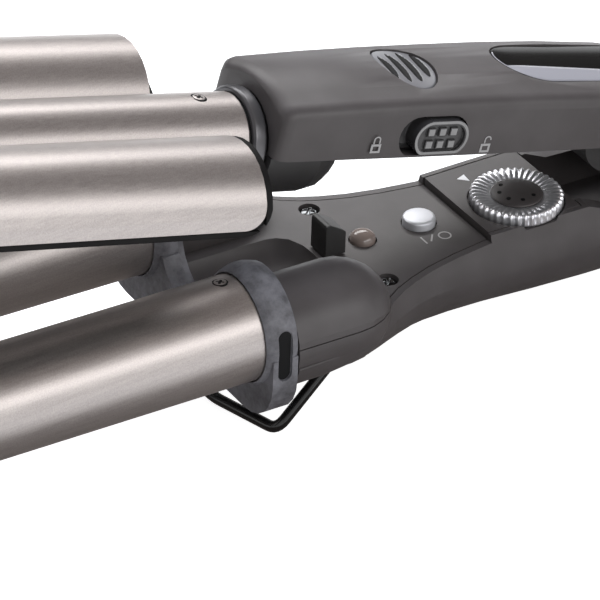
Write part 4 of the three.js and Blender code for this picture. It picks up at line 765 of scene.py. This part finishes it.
def screws():
    """Deck screws in their wells, and the flush screw that holds each barrel to its socket."""
    for side, sign in (("near", -1), ("far", 1)):
        place = (DECK_SCREW_X, sign * DECK_SCREW_Y, DECK_Z - DECK_SCREW_SUNK)
        head = head_surface(f"{side}_deck_screw_finished", LOWER, place, AXIS_Z,
                            radius=2.28, rise=0.5, slot=0.45, width=0.8, rim=0.3)
        finished(head, f"{side}_deck_screw", OXIDE)
        barrel_screw(f"{side}_barrel_screw", LOWER, (BARREL_SCREW_X, sign * BARREL_SPREAD, 0.0),
                     BARREL_RADIUS, -sign * BARREL_SCREW_TURN, f"{side}_barrel")
    barrel_screw("middle_barrel_screw", UPPER, (BARREL_SCREW_X, 0.0, MIDDLE_AXIS_Z), MIDDLE_RADIUS, 0,
                 "middle_barrel")


def collar_slots():
    """Plate of painted shade on the floor of the slot in each side of the collar."""
    straight = SLOT_HALF_Z - SLOT_HALF_X
    outline = arc((SLOT_X, SLOT_Z + straight), SLOT_HALF_X, 0, 180, 12)
    outline += arc((SLOT_X, SLOT_Z - straight), SLOT_HALF_X, 180, 360, 12)
    for side, sign in (("near", -1), ("far", 1)):
        across = (-sign, 0, 0)
        mirrored = [(-sign * a, b) for a, b in outline]
        place = (0, sign * (BARREL_SPREAD + BARREL_RADIUS + SLOT_WALL), 0)
        slot_shade_plate = plate(f"{side}_slot_painted_shade", mirrored, SLOT_FLOOR, place, across, AXIS_Z, LOWER)
        finished(slot_shade_plate, "barrel_collar", SHADE_AND_MARK_BLACK)


# Assembly
MADE_AFRESH = {
    "dial_ring": dial_ring,
    "dial_hub": dial_hub,
    "wire_stand": wire_stand,
    "finger_pad": finger_pad,
    "label_window": label_window,
}


def dress(node):
    """Puts a finished piece in place of a CAD node: one with a surface of its own, or a softened copy."""
    piece = MADE_AFRESH[node]() if node in MADE_AFRESH else softened(node)
    finished(piece, node, OWN_MATERIAL.get(node, MATERIALS[slot_of[node]]), instead=True)
    if node == "far_liner":
        trim_liner(piece)


for node_name in slot_of:
    dress(node_name)
marks()
hub_marks()
screws()
collar_slots()
window_bevel_reflection()
slider_trim()


# Camera at the photograph's place, given in the drawing frame of the lower arm
CAMERA_AT = Vector((-436.0, -735.84, 551.91))
CAMERA_AIM = Vector((32.35, 0.0, -17.2))
CAMERA_ROLL = math.radians(2.04)
CAMERA_LENS = 269.0


def photograph_camera():
    """Camera that looks from its place at its aim, rolled about that line."""
    turn = LOWER.to_3x3().normalized()
    forward = (CAMERA_AIM - CAMERA_AT).normalized()
    level = forward.cross(Vector((0, 0, 1))).normalized()
    rise = level.cross(forward)
    right = turn @ (level * math.cos(CAMERA_ROLL) + rise * math.sin(CAMERA_ROLL))
    up = turn @ (rise * math.cos(CAMERA_ROLL) - level * math.sin(CAMERA_ROLL))
    facing = Matrix((right, up, -(turn @ forward))).transposed()
    data = bpy.data.cameras.new("camera")
    data.lens = CAMERA_LENS
    data.sensor_width = 36.0
    data.clip_start = 0.05
    data.clip_end = 20.0
    obj = bpy.data.objects.new("camera", data)
    obj.matrix_world = Matrix.LocRotScale(LOWER @ CAMERA_AT, facing, None)
    bpy.context.scene.collection.objects.link(obj)
    bpy.context.scene.camera = obj


photograph_camera()


# Floor, world, cards and lamps, in metres
FLOOR_HALF = 1.6
FLOOR_Z = -0.0002
FLOOR_GLOW = 0.9
WORLD_LIGHT = 0.22
SET_LEFT, SET_RIGHT = -2.2, 2.4
SET_FRONT, SET_END_FRONT, SET_BACK = -2.5, -1.6, 1.9
SET_TOP = 1.7
TABLE_CARD = (-0.5, 0.5, -0.09, 0.1, 0.0004)    # left, right, front, back and height
AIM = (0, 0, 0.05)


def level_corners(left, right, front, back, z):
    """Corners of a level card or floor."""
    return [(left, front, z), (right, front, z), (right, back, z), (left, back, z)]


def upright_corners(start, end):
    """Corners of a card that stands on the floor from start to end, up to the top of the set."""
    return [(*start, SET_TOP), (*end, SET_TOP), (*end, 0.0), (*start, 0.0)]


def seen_directly(tree):
    """1 for the rays of the camera, of reflections and of transmission, and 0 for those of diffuse light."""
    path = add(tree, "ShaderNodeLightPath")
    larger = {"operation": "MAXIMUM"}
    either = add(tree, "ShaderNodeMath", larger, [(0, path, "Is Camera Ray"), (1, path, "Is Glossy Ray")])
    return add(tree, "ShaderNodeMath", larger, [(0, either, 0), (1, path, "Is Transmission Ray")])


def floor():
    """White paper floor, which glows for the camera and in reflections only and keeps the object's shadow."""
    corners = level_corners(-FLOOR_HALF, FLOOR_HALF, -FLOOR_HALF, FLOOR_HALF, FLOOR_Z)
    obj = mesh_object("floor", corners, [(0, 1, 2, 3)], Matrix.Identity(4))
    mat = bpy.data.materials.new("white_paper_floor")
    mat.use_nodes = True
    tree = mat.node_tree
    tree.nodes.clear()
    base = add(tree, "ShaderNodeBsdfDiffuse", {"Color": (0.6, 0.6, 0.6, 1)})
    level = add(tree, "ShaderNodeMath", {"operation": "MULTIPLY", 1: FLOOR_GLOW},
                [(0, seen_directly(tree), 0)])
    glow = add(tree, "ShaderNodeEmission", {"Color": (1, 1, 1, 1)}, [("Strength", level, 0)])
    both = add(tree, "ShaderNodeAddShader", {}, [(0, base, "BSDF"), (1, glow, "Emission")])
    add(tree, "ShaderNodeOutputMaterial", {}, [("Surface", both, 0)])
    obj.data.materials.append(mat)


def studio_world():
    """White where the camera and reflections look past the set, and plain grey light elsewhere."""
    world = bpy.data.worlds.new("studio")
    bpy.context.scene.world = world
    world.use_nodes = True
    tree = world.node_tree
    tree.nodes.clear()
    dim = add(tree, "ShaderNodeBackground", {"Color": (1, 1, 1, 1), "Strength": WORLD_LIGHT})
    white = add(tree, "ShaderNodeBackground", {"Color": (1, 1, 1, 1), "Strength": 1.0})
    mix = add(tree, "ShaderNodeMixShader", {}, [(0, seen_directly(tree), 0), (1, dim, 0), (2, white, 0)])
    add(tree, "ShaderNodeOutputWorld", {}, [("Surface", mix, 0)])


def card(name, corners, colour):
    """Studio card of cloth on a frame, which shows only in reflections."""
    obj = mesh_object(name, corners, [(0, 1, 2, 3)], Matrix.Identity(4))
    glow = {"Emission_Color": linear(colour), "Emission_Strength": 1.0}
    obj.data.materials.append(surface(name + "_cloth", colour, 0.9, **glow)[0])
    obj.visible_camera = False
    obj.visible_diffuse = False
    obj.visible_shadow = False


def lamp(name, place, target, size, power, colour=(1, 1, 1), reflected=True):
    """Soft rectangular lamp at a place, facing a target."""
    data = bpy.data.lights.new(name, "AREA")
    data.shape = "RECTANGLE"
    data.size, data.size_y = size
    data.energy = power
    data.color = colour
    obj = bpy.data.objects.new(name, data)
    obj.visible_glossy = reflected
    obj.location = place
    obj.rotation_euler = (Vector(target) - Vector(place)).to_track_quat("-Z", "Y").to_euler()
    bpy.context.scene.collection.objects.link(obj)


floor()
studio_world()
# A dark ceiling between two long softboxes gives the barrels their dark band, and the card on the table
# the shade along their lower edge
card("ceiling_card", level_corners(SET_LEFT, SET_RIGHT, SET_FRONT, SET_BACK, SET_TOP), "#6c625c")
card("back_card", upright_corners((SET_LEFT, SET_BACK), (SET_RIGHT, SET_BACK)), "#5a5858")
card("table_card", level_corners(*TABLE_CARD), "#5c5653")
card("end_card", upright_corners((SET_RIGHT, SET_END_FRONT), (SET_RIGHT, SET_BACK)), "#3c3b3c")
lamp("back_softbox", (0.35, 0.95, 0.95), AIM, size=(1.6, 0.5), power=19.0)
lamp("front_softbox", (0.35, -1.05, 0.6), (0.05, 0, 0.05), size=(1.5, 0.34), power=8.0)
lamp("overhead_silk", (0.1, 0.25, 1.5), AIM, size=(1.6, 1.4), power=21.0, colour=(0.84, 0.9, 1.0),
     reflected=False)
